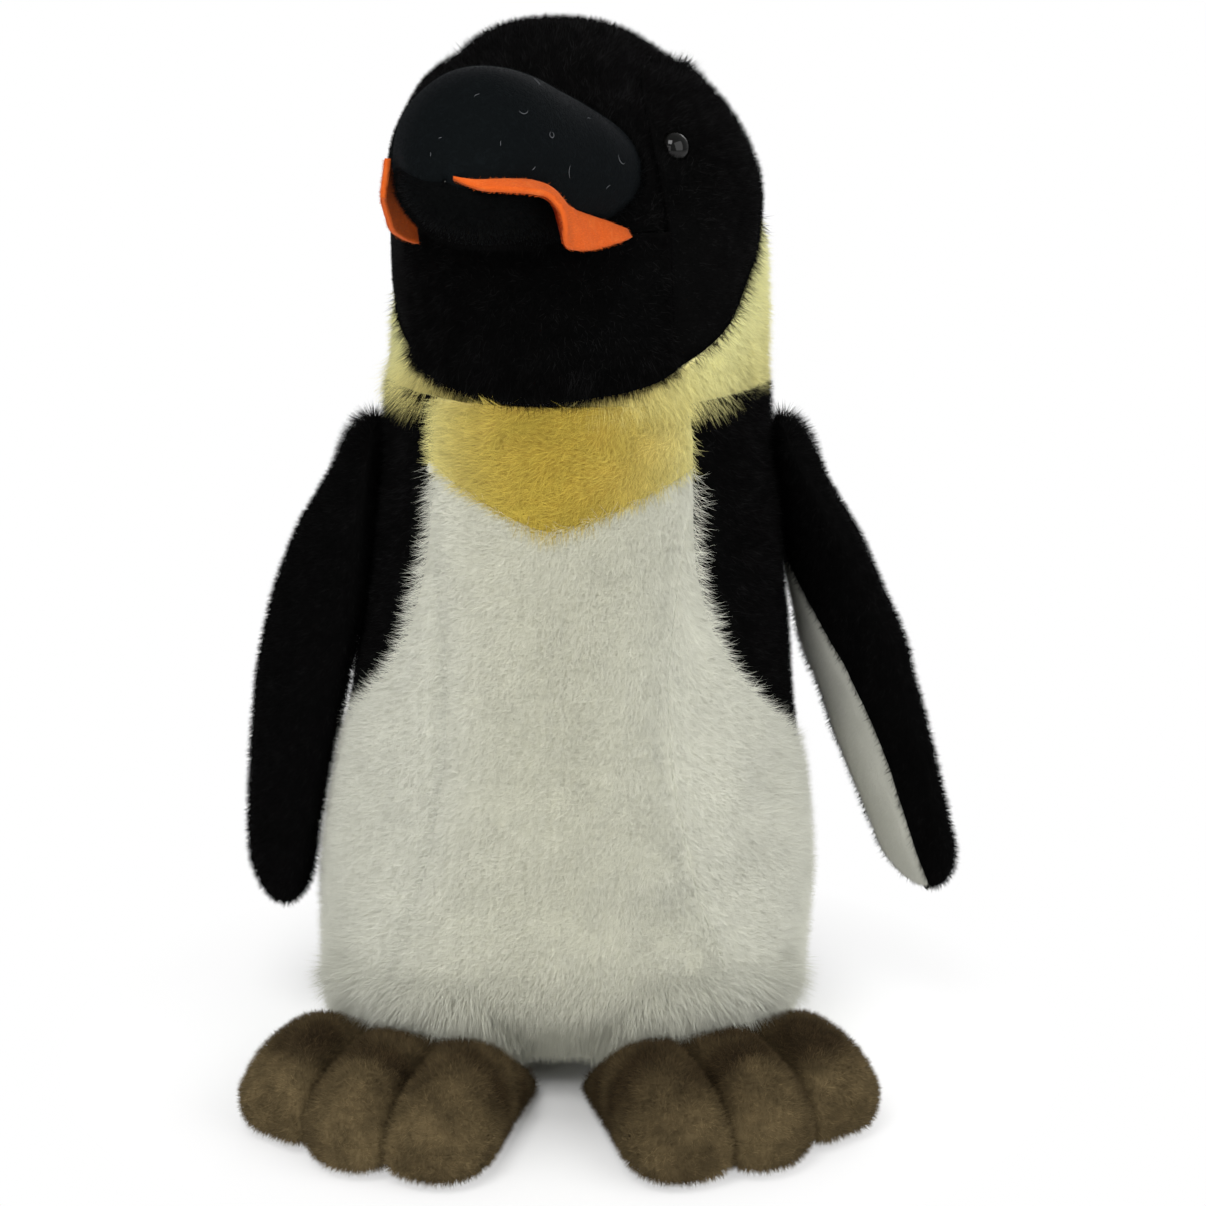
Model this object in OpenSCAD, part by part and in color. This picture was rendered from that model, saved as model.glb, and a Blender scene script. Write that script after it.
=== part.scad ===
// Plush penguin: a stuffed toy of sewn fabric panels over fibre filling, with
// sewn-on flippers, feet, tail and beak, and plastic eyes locked by washers.
// The origin is on the floor under the trunk's middle. +Z is up and the toy faces -Y.
// Left and right are the toy's own, so its left side is +X.

/* [Trunk] */
// Height of the neck seam above the floor
neck_z = 200; // [185:1:215]
// Width of the trunk just above its rounded bottom edge
base_w = 136; // [124:1:146]
// Depth of the trunk just above its rounded bottom edge
base_d = 114; // [104:1:124]
// Width of the trunk at the belly
belly_w = 138; // [126:1:152]
// Depth of the trunk at the belly
belly_d = 120; // [108:1:130]
// Height of the fullest part of the belly
belly_z = 60; // [48:1:72]
// Width of the trunk at the chest
chest_w = 125; // [114:1:134]
// Depth of the trunk at the chest
chest_d = 110; // [100:1:120]
// Height of the chest
chest_z = 112; // [100:1:125]
// Radius of the trunk's bottom edge at the sides and back
base_round = 14; // [10:1:18]
// Radius of the trunk's bottom edge at the front, above the feet
front_round = 50; // [40:1:56]
// Sideways shift of the neck from the middle of the base
neck_shift = 6; // [0:0.5:8]
// How far the chest is turned to its right of the base, in degrees
chest_turn = 7; // [0:1:9]
// Thickness of the long plush, backing and pile together
plush_t = 5; // [3:0.5:6]

/* [Head] */
// Width of the neck seam
neck_w = 104; // [96:1:110]
// Depth of the neck seam
neck_d = 100; // [92:1:108]
// Width of the head at its fullest
head_w = 103; // [98:1:112]
// Depth of the head at its fullest
head_d = 104; // [96:1:112]
// Height of the head's fullest part above the neck seam
drum_h = 46; // [42:1:56]
// Height of the crown above the head's fullest part
dome_h = 52; // [46:1:60]
// How far the chin stands out past the neck
chin_out = 5; // [0:0.5:8]
// Sideways lean of the crown, towards the left
head_lean = -7; // [-8:0.5:8]
// How far the head is sewn on turned to its right, in degrees
head_turn = 17; // [0:1:30]
// Half width of the crown gusset at the top of the head
gusset_half = 27; // [20:1:34]
// Angle from the beak to the seam beside the chin, in degrees
cheek_seam = 48; // [42:1:54]

/* [Beak] */
// Width of the beak where it leaves the head
beak_w = 65; // [54:1:68]
// Height of the beak at its fullest, near the middle
beak_h = 47; // [40:1:52]
// Length of the beak from its buried root to its tip
beak_len = 76; // [66:1:86]
// Length of the beak's root inside the head's outline
beak_bury = 20; // [14:1:26]
// Height of the beak's root above the neck seam
beak_z = 58; // [50:1:62]
// Upward slant of the beak, in degrees
beak_pitch = 17; // [8:1:24]
// How far the beak droops below that slant
beak_droop = 6; // [0:1:10]
// How far the blunt end of the beak hooks down at its very tip
beak_hook = 8; // [0:1:12]
// Thickness of the beak's short velour
velour_t = 2; // [1:0.5:3]
// Thickness of the felt stripes
felt_t = 1.6; // [1:0.1:2.5]
// Width of the left felt stripe at its widest
left_felt_w = 10; // [6:0.5:13]
// Width of the right felt stripe at its widest
right_felt_w = 9; // [6:0.5:12]

/* [Eyes] */
// Diameter of an eye's dome
eye_dia = 9; // [7:0.5:12]
// Height of an eye's dome
eye_rise = 4; // [3:0.5:5]
// Diameter of an eye's shank
shank_dia = 3; // [2.5:0.5:4]
// Length of an eye's shank
shank_len = 13; // [11:0.5:16]
// Diameter of the locking washer
washer_dia = 11; // [9:0.5:13]
// Thickness of the locking washer
washer_t = 1.5; // [1:0.5:2]
// Angle from the beak to an eye, in degrees
eye_angle = 57; // [54:1:66]
// Height of an eye above the head's fullest part
eye_z = 22; // [16:1:28]

/* [Flippers] */
// Length of a flipper from its sewn root to its tip
flipper_len = 150; // [130:1:160]
// Widest chord of a flipper
flipper_chord = 42; // [34:1:48]
// Greatest thickness of a flipper
flipper_thick = 16; // [12:0.5:18]
// How far the left flipper bows outward between its root and its tip
left_bow = 0; // [0:0.5:7]
// How far the right flipper bows outward between its root and its tip
right_bow = 6.6; // [4:0.2:9]
// Thickness of a flipper at its sewn root
root_thick = 8; // [7:0.5:9]
// Thickness of the short plush and the lining
lining_t = 2; // [1.5:0.25:2.5]
// Height of the shoulder seam below the neck seam
shoulder_drop = 17; // [12:1:26]
// Outward hang of the left flipper, in degrees
left_spread = 19; // [14:1:30]
// Outward hang of the right flipper, in degrees
right_spread = 12; // [11:1:25]
// Turn of the left flipper that shows its lining, in degrees
left_twist = 34; // [0:1:40]
// Turn of the right flipper that shows its outside, in degrees
right_twist = -34; // [-40:1:0]

/* [Feet] */
// Length of the inner toe from the heel seam
inner_toe = 68; // [56:1:74]
// Length of the middle toe from the heel seam
middle_toe = 69; // [56:1:74]
// Length of the outer toe from the heel seam
outer_toe = 56; // [46:1:64]
// Width of a foot across its heel seam
heel_w = 60; // [50:1:64]
// Width of a foot across its toes
toes_w = 78; // [70:1:88]
// Thickness of a foot at its toes
toe_h = 27; // [20:1:32]
// Height of the seam round a foot above the floor
foot_seam_z = 11; // [8:0.5:13]
// Thickness of a foot at its heel seam
heel_h = 9; // [7:0.5:11]
// Outward turn of the left foot, in degrees
left_toe_out = 22; // [10:1:28]
// Outward turn of the right foot, in degrees
right_toe_out = 21; // [10:1:28]
// Distance of a foot's heel seam from the middle of the trunk, sideways
foot_x = 35; // [30:1:40]
// Thickness of the foot's plush and of its sole
sole_t = 2.5; // [1.5:0.25:3]

/* [Tail] */
// Length of the tail
tail_len = 40; // [30:1:50]
// Width of the tail
tail_w = 40; // [30:1:48]
// Thickness of the tail
tail_thick = 13; // [10:0.5:16]
// Height of the tail's seam above the floor
tail_z = 26; // [22:1:34]
// Downward slant of the tail, in degrees
tail_slant = 22; // [10:1:26]

/* [Fit] */
// Gap between two pieces that move against each other
seam_gap = 0.4; // [0.3:0.1:0.8]
// Gap between a flipper's root and the trunk
shoulder_gap = 0.2; // [0:0.1:2]
// Gap between the tail's root and the trunk
tail_gap = 0.8; // [0.6:0.1:1.5]
// Gap between a foot's heel seam and the trunk's rounded edge
heel_gap = 0.2; // [0:0.1:2]
// Gap between a cover and the filling inside it
fill_gap = 1; // [0.6:0.1:1.4]

/* [Hidden] */
$fn = 48;
SIDES = ["left", "right"];

// Colours of the fabrics, as the toy shows them
WHITE = [0.86, 0.86, 0.80];
BLACK = [0.04, 0.04, 0.04];
YELLOW = [0.85, 0.72, 0.28];
NAVY = [0.09, 0.10, 0.11];
ORANGE = [0.85, 0.38, 0.12];
OLIVE = [0.38, 0.33, 0.22];
FIBRE = [0.93, 0.93, 0.91];

// Rows and columns of the sewn forms
corner_rows = 3;
belly_rows = 8;
bib_rows = 2;
drum_rows = 4;
dome_rows = 5;
core_cols = 24;
beak_rows = 7;
paddle_rows = 9;
toe_steps = 4;
foot_rows = 4;
tip_rows = 3;

// Small maths
function sign_of(side) = side == "left" ? 1 : -1;
function mix(a, b, t) = a + (b - a) * t;
function power(v, n) = sign(v) * pow(abs(v), 2 / n);
function flat_list(rows) = [for (row = rows) each row];

// Smooth curve through [x, y] points, held level past its ends
function slope(p, i) =
    let (a = max(i - 1, 0), b = min(i + 1, len(p) - 1))
    (p[b][1] - p[a][1]) / (p[b][0] - p[a][0]);
function segment(p, x, i = 0) = i >= len(p) - 2 || x < p[i + 1][0] ? i : segment(p, x, i + 1);
function hermite(y0, y1, m0, m1, t) =
    y0 * (2 * t * t * t - 3 * t * t + 1) + m0 * (t * t * t - 2 * t * t + t)
    + y1 * (3 * t * t - 2 * t * t * t) + m1 * (t * t * t - t * t);
function curve(p, at) =
    let (x = max(p[0][0], min(p[len(p) - 1][0], at)),
         i = segment(p, x),
         w = p[i + 1][0] - p[i][0])
    hermite(p[i][1], p[i + 1][1], slope(p, i) * w, slope(p, i + 1) * w, (x - p[i][0]) / w);

// A closed piece of fabric between two grids of points, one outside and one inside.
// Its side walls are split alike on both sides of a seam, so neighbours meet face to face.
function grid_faces(rows, cols) =
    let (n = rows * cols)
    concat(
        [for (r = [0 : rows - 2], c = [0 : cols - 2])
            let (a = r * cols + c, b = a + 1, d = a + cols, e = d + 1)
            each [[a, b, e], [a, e, d], [n + a, n + e, n + b], [n + a, n + d, n + e]]],
        [for (r = [0 : rows - 2])
            let (a = r * cols, d = a + cols, b = a + cols - 1, e = b + cols)
            each [[a, n + d, n + a], [a, d, n + d], [b, n + b, n + e], [b, n + e, e]]],
        [for (c = [0 : cols - 2])
            let (a = c, b = c + 1, d = (rows - 1) * cols + c, e = d + 1)
            each [[a, n + a, n + b], [a, n + b, b], [d, n + e, n + d], [d, e, n + e]]]
    );
function turned(faces) = [for (f = faces) [f[0], f[2], f[1]]];
module fabric(outside, inside, flip = false) {
    faces = grid_faces(len(outside), len(outside[0]));
    polyhedron(concat(flat_list(outside), flat_list(inside)), flip ? turned(faces) : faces, convexity = 6);
}

// A closed filling from rings of points, with a point at each end
function ring_faces(rings, cols) =
    let (last = (rings - 1) * cols, low = rings * cols, high = low + 1)
    concat(
        [for (r = [0 : rings - 2], c = [0 : cols - 1])
            let (a = r * cols + c, b = r * cols + (c + 1) % cols, d = a + cols, e = b + cols)
            each [[a, b, e], [a, e, d]]],
        [for (c = [0 : cols - 1]) [(c + 1) % cols, c, low]],
        [for (c = [0 : cols - 1]) [last + c, last + (c + 1) % cols, high]]
    );
module filling(rings, low, high, flip = false) {
    faces = ring_faces(len(rings), len(rings[0]));
    polyhedron(concat(flat_list(rings), [low, high]), flip ? turned(faces) : faces, convexity = 6);
}

// Trunk: widths and depths at their heights, and the seams as angles from the front
trunk_round = 2.25;
trunk_widths = [[base_round, base_w], [belly_z, belly_w], [chest_z, chest_w], [neck_z, neck_w]];
trunk_depths = [[base_round, base_d], [belly_z, belly_d], [chest_z, chest_d], [neck_z, neck_d]];
bib_side_z = 0.914 * neck_z;
bib_tip_z = 0.828 * neck_z;
belly_seam_at = [[0, 41], [0.16, 39], [0.40, 29], [0.62, 28], [0.914, 40]];
side_seam_at = [[0, 116], [0.16, 114], [0.31, 107], [0.45, 92], [0.53, 70], [0.6, 53], [0.68, 43],
                [0.78, 39], [0.914, 40]];
function belly_seam(z) = curve(belly_seam_at, z / neck_z);
function side_seam(z) = curve(side_seam_at, z / neck_z);
function trunk_lean(z) = neck_shift * z / neck_z;
function trunk_point(z, shrink, angle) =
    [trunk_lean(z) + (curve(trunk_widths, z) / 2 - shrink) * power(sin(angle), trunk_round),
     -(curve(trunk_depths, z) / 2 - shrink) * power(cos(angle), trunk_round),
     z];
// The bottom edge is rounder at the front. Its steps run from 0 at the base seam to 1 at the trunk's side.
function edge_round(angle) = mix(base_round, front_round, pow(max(cos(angle), 0), 2));
function corner_point(step, inset, angle) =
    let (round = edge_round(angle), r = round - inset)
    trunk_point(round - r * cos(90 * step), round - r * sin(90 * step), angle);
function turn_at(z) = -chest_turn * z / neck_z;

// A trunk panel as rows of points: angle_at(height, share) gives its seams and top_at(share) its upper edge
function trunk_grid(cols, inset, angle_at, top_at) =
    concat(
        [for (k = [0 : corner_rows])
            [for (c = [0 : cols]) corner_point(k / corner_rows, inset, angle_at(0, c / cols))]],
        [for (k = [1 : belly_rows])
            [for (c = [0 : cols])
                let (foot = angle_at(0, c / cols),
                     z = mix(edge_round(foot), top_at(c / cols), k / belly_rows))
                trunk_point(z, inset, angle_at(z, c / cols))]]
    );
function upper_grid(cols, inset, angle_at, low_at) =
    [for (k = [0 : bib_rows])
        [for (c = [0 : cols])
            let (z = mix(low_at(c / cols), neck_z, k / bib_rows))
            trunk_point(z, inset, angle_at(z, c / cols))]];
v_edge = function (share) mix(bib_tip_z, bib_side_z, abs(2 * share - 1));
level_edge = function (share) bib_side_z;
belly_angle = function (z, share) turn_at(z) + belly_seam(z) * (2 * share - 1);
back_edge = function (z) z < bib_side_z ? side_seam(z) : belly_seam(z);

belly_cols = 8;
side_cols = 6;
back_cols = 8;
module belly_panel()
    color(WHITE)
        fabric(trunk_grid(belly_cols, 0, belly_angle, v_edge),
               trunk_grid(belly_cols, plush_t, belly_angle, v_edge));
module bib_panel()
    color(YELLOW)
        fabric(upper_grid(belly_cols, 0, belly_angle, v_edge),
               upper_grid(belly_cols, plush_t, belly_angle, v_edge));
module belly_side(side) {
    s = sign_of(side);
    angle = function (z, share) turn_at(z) + s * mix(belly_seam(z), side_seam(z), share);
    color(WHITE)
        fabric(trunk_grid(side_cols, 0, angle, level_edge),
               trunk_grid(side_cols, plush_t, angle, level_edge), s < 0);
}
module back_panel(side) {
    s = sign_of(side);
    angle = function (z, share) turn_at(z) + s * mix(back_edge(z), 180, share);
    outside = concat(trunk_grid(back_cols, 0, angle, level_edge),
                     rest(upper_grid(back_cols, 0, angle, level_edge)));
    inside = concat(trunk_grid(back_cols, plush_t, angle, level_edge),
                    rest(upper_grid(back_cols, plush_t, angle, level_edge)));
    color(BLACK) fabric(outside, inside, s < 0);
}
function rest(rows) = [for (i = [1 : len(rows) - 1]) rows[i]];

// The base panel's outline follows the feet of the panels round it, point by point
function half_turn() =
    concat([for (c = [belly_cols / 2 : belly_cols]) belly_angle(0, c / belly_cols)],
           [for (c = [1 : side_cols]) mix(belly_seam(0), side_seam(0), c / side_cols)],
           [for (c = [1 : back_cols]) mix(side_seam(0), 180, c / back_cols)]);
function base_outline() =
    let (half = half_turn(), last = len(half) - 1)
    [for (angle = concat(half, [for (i = [1 : last - 1]) 360 - half[last - i]]))
        let (p = trunk_point(0, edge_round(angle) + seam_gap, angle)) [p[0], p[1]]];
module base_panel()
    color(WHITE)
        linear_extrude(plush_t - fill_gap)
            polygon(base_outline());

core_inset = plush_t + fill_gap;
module trunk_stuffing() {
    rings = concat(
        [for (k = [0 : corner_rows])
            [for (c = [0 : core_cols - 1]) corner_point(k / corner_rows, core_inset, 360 * c / core_cols)]],
        [for (k = [1 : belly_rows])
            [for (c = [0 : core_cols - 1])
                let (angle = 360 * c / core_cols)
                trunk_point(mix(edge_round(angle), neck_z, k / belly_rows), core_inset, angle)]]
    );
    color(FIBRE) filling(rings, [0, 0, core_inset], [neck_shift, 0, neck_z]);
}

// Head, in its own frame: neck seam at z = 0, facing -Y. Height steps run from -1 at the neck seam
// to 0 at the fullest part and 1 at the crown.
head_h = drum_h + dome_h;
function head_half(step, neck, full) = mix(neck, full, sin(90 * min(step + 1, 1))) / 2;
function chin_bulge(step, angle) =
    step < 0 && cos(angle) > 0 ? chin_out * pow(cos(angle), 2) * sin(180 * (step + 1)) : 0;
function head_shift(z) = head_lean * pow(z / head_h, 2);
function leaned(p) = [p[0] + head_shift(p[2]), p[1], p[2]];
function head_point(angle, step, inset) =
    let (flat = step > 0 ? cos(90 * step) : 1,
         z = step > 0 ? drum_h + (dome_h - inset) * sin(90 * step) : drum_h * (1 + step))
    leaned([flat * (head_half(step, neck_w, head_w) - inset) * sin(angle),
            -flat * (head_half(step, neck_d, head_d) + chin_bulge(step, angle) - inset) * cos(angle),
            z]);
// Crown points by the angle over the top from front to back, and sideways
function crown_point(over, sideways, inset) =
    leaned([(head_w / 2 - inset) * sin(sideways),
            -(head_d / 2 - inset) * cos(sideways) * cos(over),
            drum_h + (dome_h - inset) * cos(sideways) * sin(over)]);
top_seam = asin(gusset_half / (head_w / 2));
function gusset_seam(over) = mix(top_seam, cheek_seam, pow(cos(over), 2));
function seam_height(over) = asin(cos(gusset_seam(over)) * sin(over)) / 90;
function seam_angle(over) = atan2(sin(gusset_seam(over)), cos(gusset_seam(over)) * cos(over));

// Upper edge of a cheek patch: share round from the middle of the chin to the gusset, share of the drum
patch_edge_at = [[0.08, 0.015], [0.17, 0.05], [0.25, 0.1], [0.33, 0.17], [0.43, 0.29], [0.57, 0.52],
                 [0.72, 0.79], [0.84, 0.93], [0.92, 0.95], [1, 0.86]];
head_cols = 8;
seam_share = 1 / 3;
patch_shares = concat([for (c = [1 : head_cols / 2 - 1]) 2 * c / head_cols * seam_share],
                      [for (c = [0 : head_cols]) mix(seam_share, 1, c / head_cols)]);
function side_angle(share) = mix(cheek_seam, 180 - cheek_seam, share);
function patch_angle(share) =
    share < seam_share
        ? cheek_seam * share / seam_share
        : side_angle((share - seam_share) / (1 - seam_share));
function patch_step(share) = curve(patch_edge_at, share) - 1;
function patch_top(share) = patch_step(mix(seam_share, 1, share));
function chin_low(share) = share == 0 ? -1 : patch_step(abs(share) * seam_share);

function chin_grid(inset) =
    [for (k = [0 : drum_rows])
        [for (c = [0 : head_cols])
            let (share = 2 * c / head_cols - 1)
            head_point(cheek_seam * share, mix(chin_low(share), 0, k / drum_rows), inset)]];
function gusset_grid(inset) =
    concat(
        [for (k = [0 : 2 * dome_rows])
            let (over = 90 * k / dome_rows)
            [for (c = [0 : head_cols])
                crown_point(over, gusset_seam(over) * (2 * c / head_cols - 1), inset)]],
        [for (k = [1 : drum_rows])
            [for (c = [0 : head_cols])
                head_point(180 - cheek_seam * (2 * c / head_cols - 1), -k / drum_rows, inset)]]
    );
function head_side_grid(s, inset) =
    concat(
        [for (k = [0 : drum_rows])
            [for (c = [0 : head_cols])
                let (share = c / head_cols)
                head_point(s * side_angle(share), mix(patch_top(share), 0, k / drum_rows), inset)]],
        [for (k = [1 : dome_rows])
            let (over = 90 * k / dome_rows, front = seam_angle(over))
            [for (c = [0 : head_cols])
                head_point(s * mix(front, 180 - front, c / head_cols), seam_height(over), inset)]]
    );
function patch_grid(s, inset) =
    [for (k = [0 : 2])
        [for (share = patch_shares)
            head_point(s * patch_angle(share), mix(-1, patch_step(share), k / 2), inset)]];
module on_neck()
    translate([neck_shift, 0, neck_z + seam_gap])
        rotate([0, 0, -head_turn])
            children();

module chin_panel()
    color(BLACK) on_neck() fabric(chin_grid(0), chin_grid(plush_t));
module crown_gusset()
    color(BLACK) on_neck() fabric(gusset_grid(0), gusset_grid(plush_t));
module cheek_patch(side) {
    s = sign_of(side);
    color(YELLOW) on_neck() fabric(patch_grid(s, 0), patch_grid(s, plush_t), s < 0);
}
module head_side(side) {
    s = sign_of(side);
    color(BLACK)
        on_neck()
            difference() {
                fabric(head_side_grid(s, 0), head_side_grid(s, plush_t), s < 0);
                eye_room(side);
            }
}
module head_stuffing() {
    rings = concat(
        [for (k = [0 : drum_rows - 1])
            [for (c = [0 : core_cols - 1]) head_point(360 * c / core_cols, k / drum_rows - 1, core_inset)]],
        [for (k = [0 : dome_rows - 1])
            [for (c = [0 : core_cols - 1]) head_point(360 * c / core_cols, k / dome_rows, core_inset)]]
    );
    color(FIBRE)
        on_neck()
            difference() {
                filling(rings, [0, 0, 0], leaned([0, 0, head_h - core_inset]));
                for (side = SIDES) eye_room(side);
            }
}

// Eyes: a dome on a shank that passes through the plush to a washer in the filling
eye_step = asin(eye_z / dome_h) / 90;
eye_seat = plush_t / 2;
eye_gap = 0.2;
washer_at = plush_t + fill_gap + washer_t;
function eye_spot(s) = head_point(s * eye_angle, eye_step, 0);
// Out of the head, square to its surface
function eye_out(s) =
    let (p = eye_spot(s), a = head_w / 2, b = head_d / 2)
    [(p[0] - head_shift(p[2])) / (a * a), p[1] / (b * b), (p[2] - drum_h) / (dome_h * dome_h)];
module at_eye(side) {
    s = sign_of(side);
    out = eye_out(s);
    translate(eye_spot(s))
        rotate([0, acos(out[2] / norm(out)), atan2(out[1], out[0])])
            children();
}
module eye_room(side)
    at_eye(side) {
        translate([0, 0, -eye_seat - eye_gap])
            cylinder(d = eye_dia + 2 * eye_gap, h = plush_t);
        translate([0, 0, -eye_seat - shank_len - eye_gap])
            cylinder(d = shank_dia + 2 * eye_gap, h = shank_len + eye_gap);
        translate([0, 0, -washer_at - washer_t - eye_gap])
            cylinder(d = washer_dia + 2 * eye_gap, h = washer_t + 2 * eye_gap);
    }
// Radius of the ball that the dome is cut from
eye_ball = (eye_dia * eye_dia / 4 + eye_rise * eye_rise) / (2 * eye_rise);
module eye(side)
    color("black")
        on_neck()
            at_eye(side) {
                intersection() {
                    translate([0, 0, eye_rise - eye_ball - eye_seat]) sphere(r = eye_ball);
                    translate([0, 0, -eye_seat]) cylinder(d = eye_dia, h = eye_rise + 1);
                }
                translate([0, 0, -eye_seat - shank_len]) cylinder(d = shank_dia, h = shank_len);
            }
washer_play = 0.05;
module eye_washer(side)
    color("white")
        on_neck()
            at_eye(side)
                translate([0, 0, -washer_at - washer_t])
                    difference() {
                        cylinder(d = washer_dia, h = washer_t);
                        translate([0, 0, -1]) cylinder(d = shank_dia + 2 * washer_play, h = washer_t + 2);
                    }

// Beak, in the head's frame: a blunt form round a line that slants up and droops at its tip.
// along runs from 0 at the buried root to 1 at the tip, and round is the angle from the beak's top.
beak_widths = [[0, 1], [0.3, 0.96], [0.6, 0.76], [0.85, 0.62], [1, 0.56]];
beak_heights = [[0, 0.82], [0.3, 0.9], [0.6, 1], [0.85, 0.98], [1, 0.9]];
beak_blunt = 6;
beak_up = [0, sin(beak_pitch), cos(beak_pitch)];
function beak_line(along, inset) =
    let (t = along * (beak_len - inset))
    [head_shift(beak_z), -(head_d / 2 - beak_bury) - t * cos(beak_pitch),
     beak_z + t * sin(beak_pitch) - beak_droop * pow(along, 2) - beak_hook * pow(along, 8)];
function beak_end(along) = sqrt(max(0, 1 - pow(along, beak_blunt)));
function beak_point(along, round, inset, share = 1) =
    let (half_w = beak_w / 2 * curve(beak_widths, along) * beak_end(along),
         half_h = beak_h / 2 * curve(beak_heights, along) * beak_end(along))
    beak_line(along, inset)
    + share * max(half_w - inset, 0) * sin(round) * [1, 0, 0]
    + share * max(half_h - inset, 0) * cos(round) * beak_up;
// Above 0 outside the head and below 0 inside it, with the gap kept clear
function head_side_of(p, gap) =
    let (step = (p[2] - drum_h) / (p[2] > drum_h ? dome_h + gap : drum_h),
         flat = step > 0 ? sqrt(max(1 - step * step, 0.0001)) : 1,
         a = flat * (head_half(min(step, 0), neck_w, head_w) + gap),
         x = (p[0] - head_shift(p[2])) / a,
         b = flat * (head_half(min(step, 0), neck_d, head_d) + chin_bulge(step, atan2(x * a, -p[1])) + gap))
    x * x + p[1] * p[1] / (b * b) - 1;
// Where the beak's surface leaves the head, found by halving
function leaves_head(round, inset, share, lo = 0, hi = 0.8, left = 14) =
    let (m = (lo + hi) / 2)
    left == 0 ? m
    : head_side_of(beak_point(m, round, inset, share), seam_gap) > 0
        ? leaves_head(round, inset, share, lo, m, left - 1)
        : leaves_head(round, inset, share, m, hi, left - 1);
function beak_step(k) = sin(90 * k / beak_rows);
// The mouth seam as an angle from the beak's top: it drops towards the cheeks, and lies higher on the right
mouth_at = [[0.15, 142], [0.3, 137], [0.52, 129], [0.6, 124], [0.68, 118], [0.8, 115], [1, 114]];
right_mouth_rise = 14;
function mouth(s, along) = curve(mouth_at, along) - (s < 0 ? right_mouth_rise : 0);
upper_edges = function (along) [-mouth(-1, along), mouth(1, along)];
lower_edges = function (along) [mouth(1, along), 360 - mouth(-1, along)];
function beak_grid(edges, cols, inset) =
    [for (k = [0 : beak_rows])
        [for (c = [0 : cols])
            let (seat = edges(0),
                 leaves = leaves_head(mix(seat[0], seat[1], c / cols), inset, 1),
                 along = mix(leaves, 1, beak_step(k)),
                 edge = edges(along))
            beak_point(along, mix(edge[0], edge[1], c / cols), inset)]];
beak_top_cols = 12;
beak_low_cols = 8;
module beak_upper()
    color(NAVY)
        on_neck()
            fabric(beak_grid(upper_edges, beak_top_cols, 0),
                   beak_grid(upper_edges, beak_top_cols, velour_t), true);
module beak_lower()
    color(NAVY)
        on_neck()
            fabric(beak_grid(lower_edges, beak_low_cols, 0),
                   beak_grid(lower_edges, beak_low_cols, velour_t), true);
beak_cols = 16;
beak_seat_rows = 4;
module beak_stuffing() {
    inset = velour_t + fill_gap;
    rings = concat(
        [for (k = [1 : beak_seat_rows])
            [for (c = [0 : beak_cols - 1])
                let (round = 360 * c / beak_cols, share = k / beak_seat_rows)
                beak_point(leaves_head(round, inset, share), round, inset, share)]],
        [for (k = [1 : beak_rows - 1])
            [for (c = [0 : beak_cols - 1])
                let (round = 360 * c / beak_cols)
                beak_point(mix(leaves_head(round, inset, 1), 1, beak_step(k)), round, inset)]]
    );
    color(FIBRE)
        on_neck()
            filling(rings, beak_point(leaves_head(0, inset, 0), 0, inset, 0), beak_line(1, inset), true);
}

// Felt stripes: leaf-shaped flaps that stand out of the mouth seam, drooping by the head
stripe_from = 0.2;
left_stripe = [0.995,
               [[0, 0.1], [0.15, 0.55], [0.35, 0.9], [0.57, 1], [0.64, 0.7], [0.7, 0.5], [0.85, 0.42], [1, 0.3]],
               [[0, 62], [0.3, 72], [0.56, 76], [0.67, 42], [0.75, 26], [1, 20]], 9];
right_stripe = [0.74, [[0, 0.85], [0.5, 1], [1, 0.65]], [[0, 100], [1, 94]], 0];
stripe_rows = 12;
// Each stripe has its end on the beak, its widths, its droop and how far its rear point trails
function stripe_edge(s, t, across, lift) =
    let (stripe = s < 0 ? right_stripe : left_stripe,
         along = mix(stripe_from, stripe[0], t),
         root = beak_point(along, s * (mouth(s, along) - 4), -seam_gap),
         droop = curve(stripe[2], t),
         trail = stripe[3] * pow(max(0, 1 - t / 0.35), 2),
         out = [s * cos(droop), 0, -sin(droop)],
         up = [s * sin(droop), 0, cos(droop)],
         wide = (s < 0 ? right_felt_w : left_felt_w) * curve(stripe[1], t))
    root + trail * [0.7 * s, 0.7, -0.2]
    + (seam_gap + wide * across) * out + (seam_gap / 2 + lift * felt_t) * up;
function stripe_grid(s, lift) =
    [for (k = [0 : stripe_rows])
        [for (across = [0, 0.5, 1]) stripe_edge(s, k / stripe_rows, across, lift)]];
module beak_stripe(side) {
    s = sign_of(side);
    color(ORANGE) on_neck() fabric(stripe_grid(s, 1), stripe_grid(s, 0), s > 0);
}

// Paddles: flat stuffed limbs that hang along -Z from a rounded root at the origin.
// A paddle is [length, chord, thickness, chord shape, thickness shape, backward sweep, outward bow, twist].
// The twist grows from nothing at the seam.
// The chord runs along Y with the front at -Y, and the outside is +X.
root_share = root_thick / flipper_thick;
function flipper(side) =
    [flipper_len, flipper_chord, flipper_thick,
     [[0, 0.7], [0.14, 0.88], [0.34, 1], [0.62, 0.94], [0.88, 0.78], [1, 0.66]],
     [[0, root_share], [0.28, 1], [0.7, 0.85], [1, 0.6]], 3,
     side == "left" ? left_bow : right_bow,
     side == "left" ? left_twist : right_twist];
tail = [tail_len, tail_w, tail_thick,
        [[0, 1], [0.4, 0.92], [0.75, 0.62], [1, 0.4]],
        [[0, 0.6], [0.3, 1], [1, 0.5]], 0, 0, 0];
root_round = 0.05;
tip_round = 0.1;
function ends(t) =
    t < root_round ? sqrt(1 - pow(1 - t / root_round, 2))
    : t > 1 - tip_round ? sqrt(max(0, 1 - pow((t - 1 + tip_round) / tip_round, 2)))
    : 1;
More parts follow.
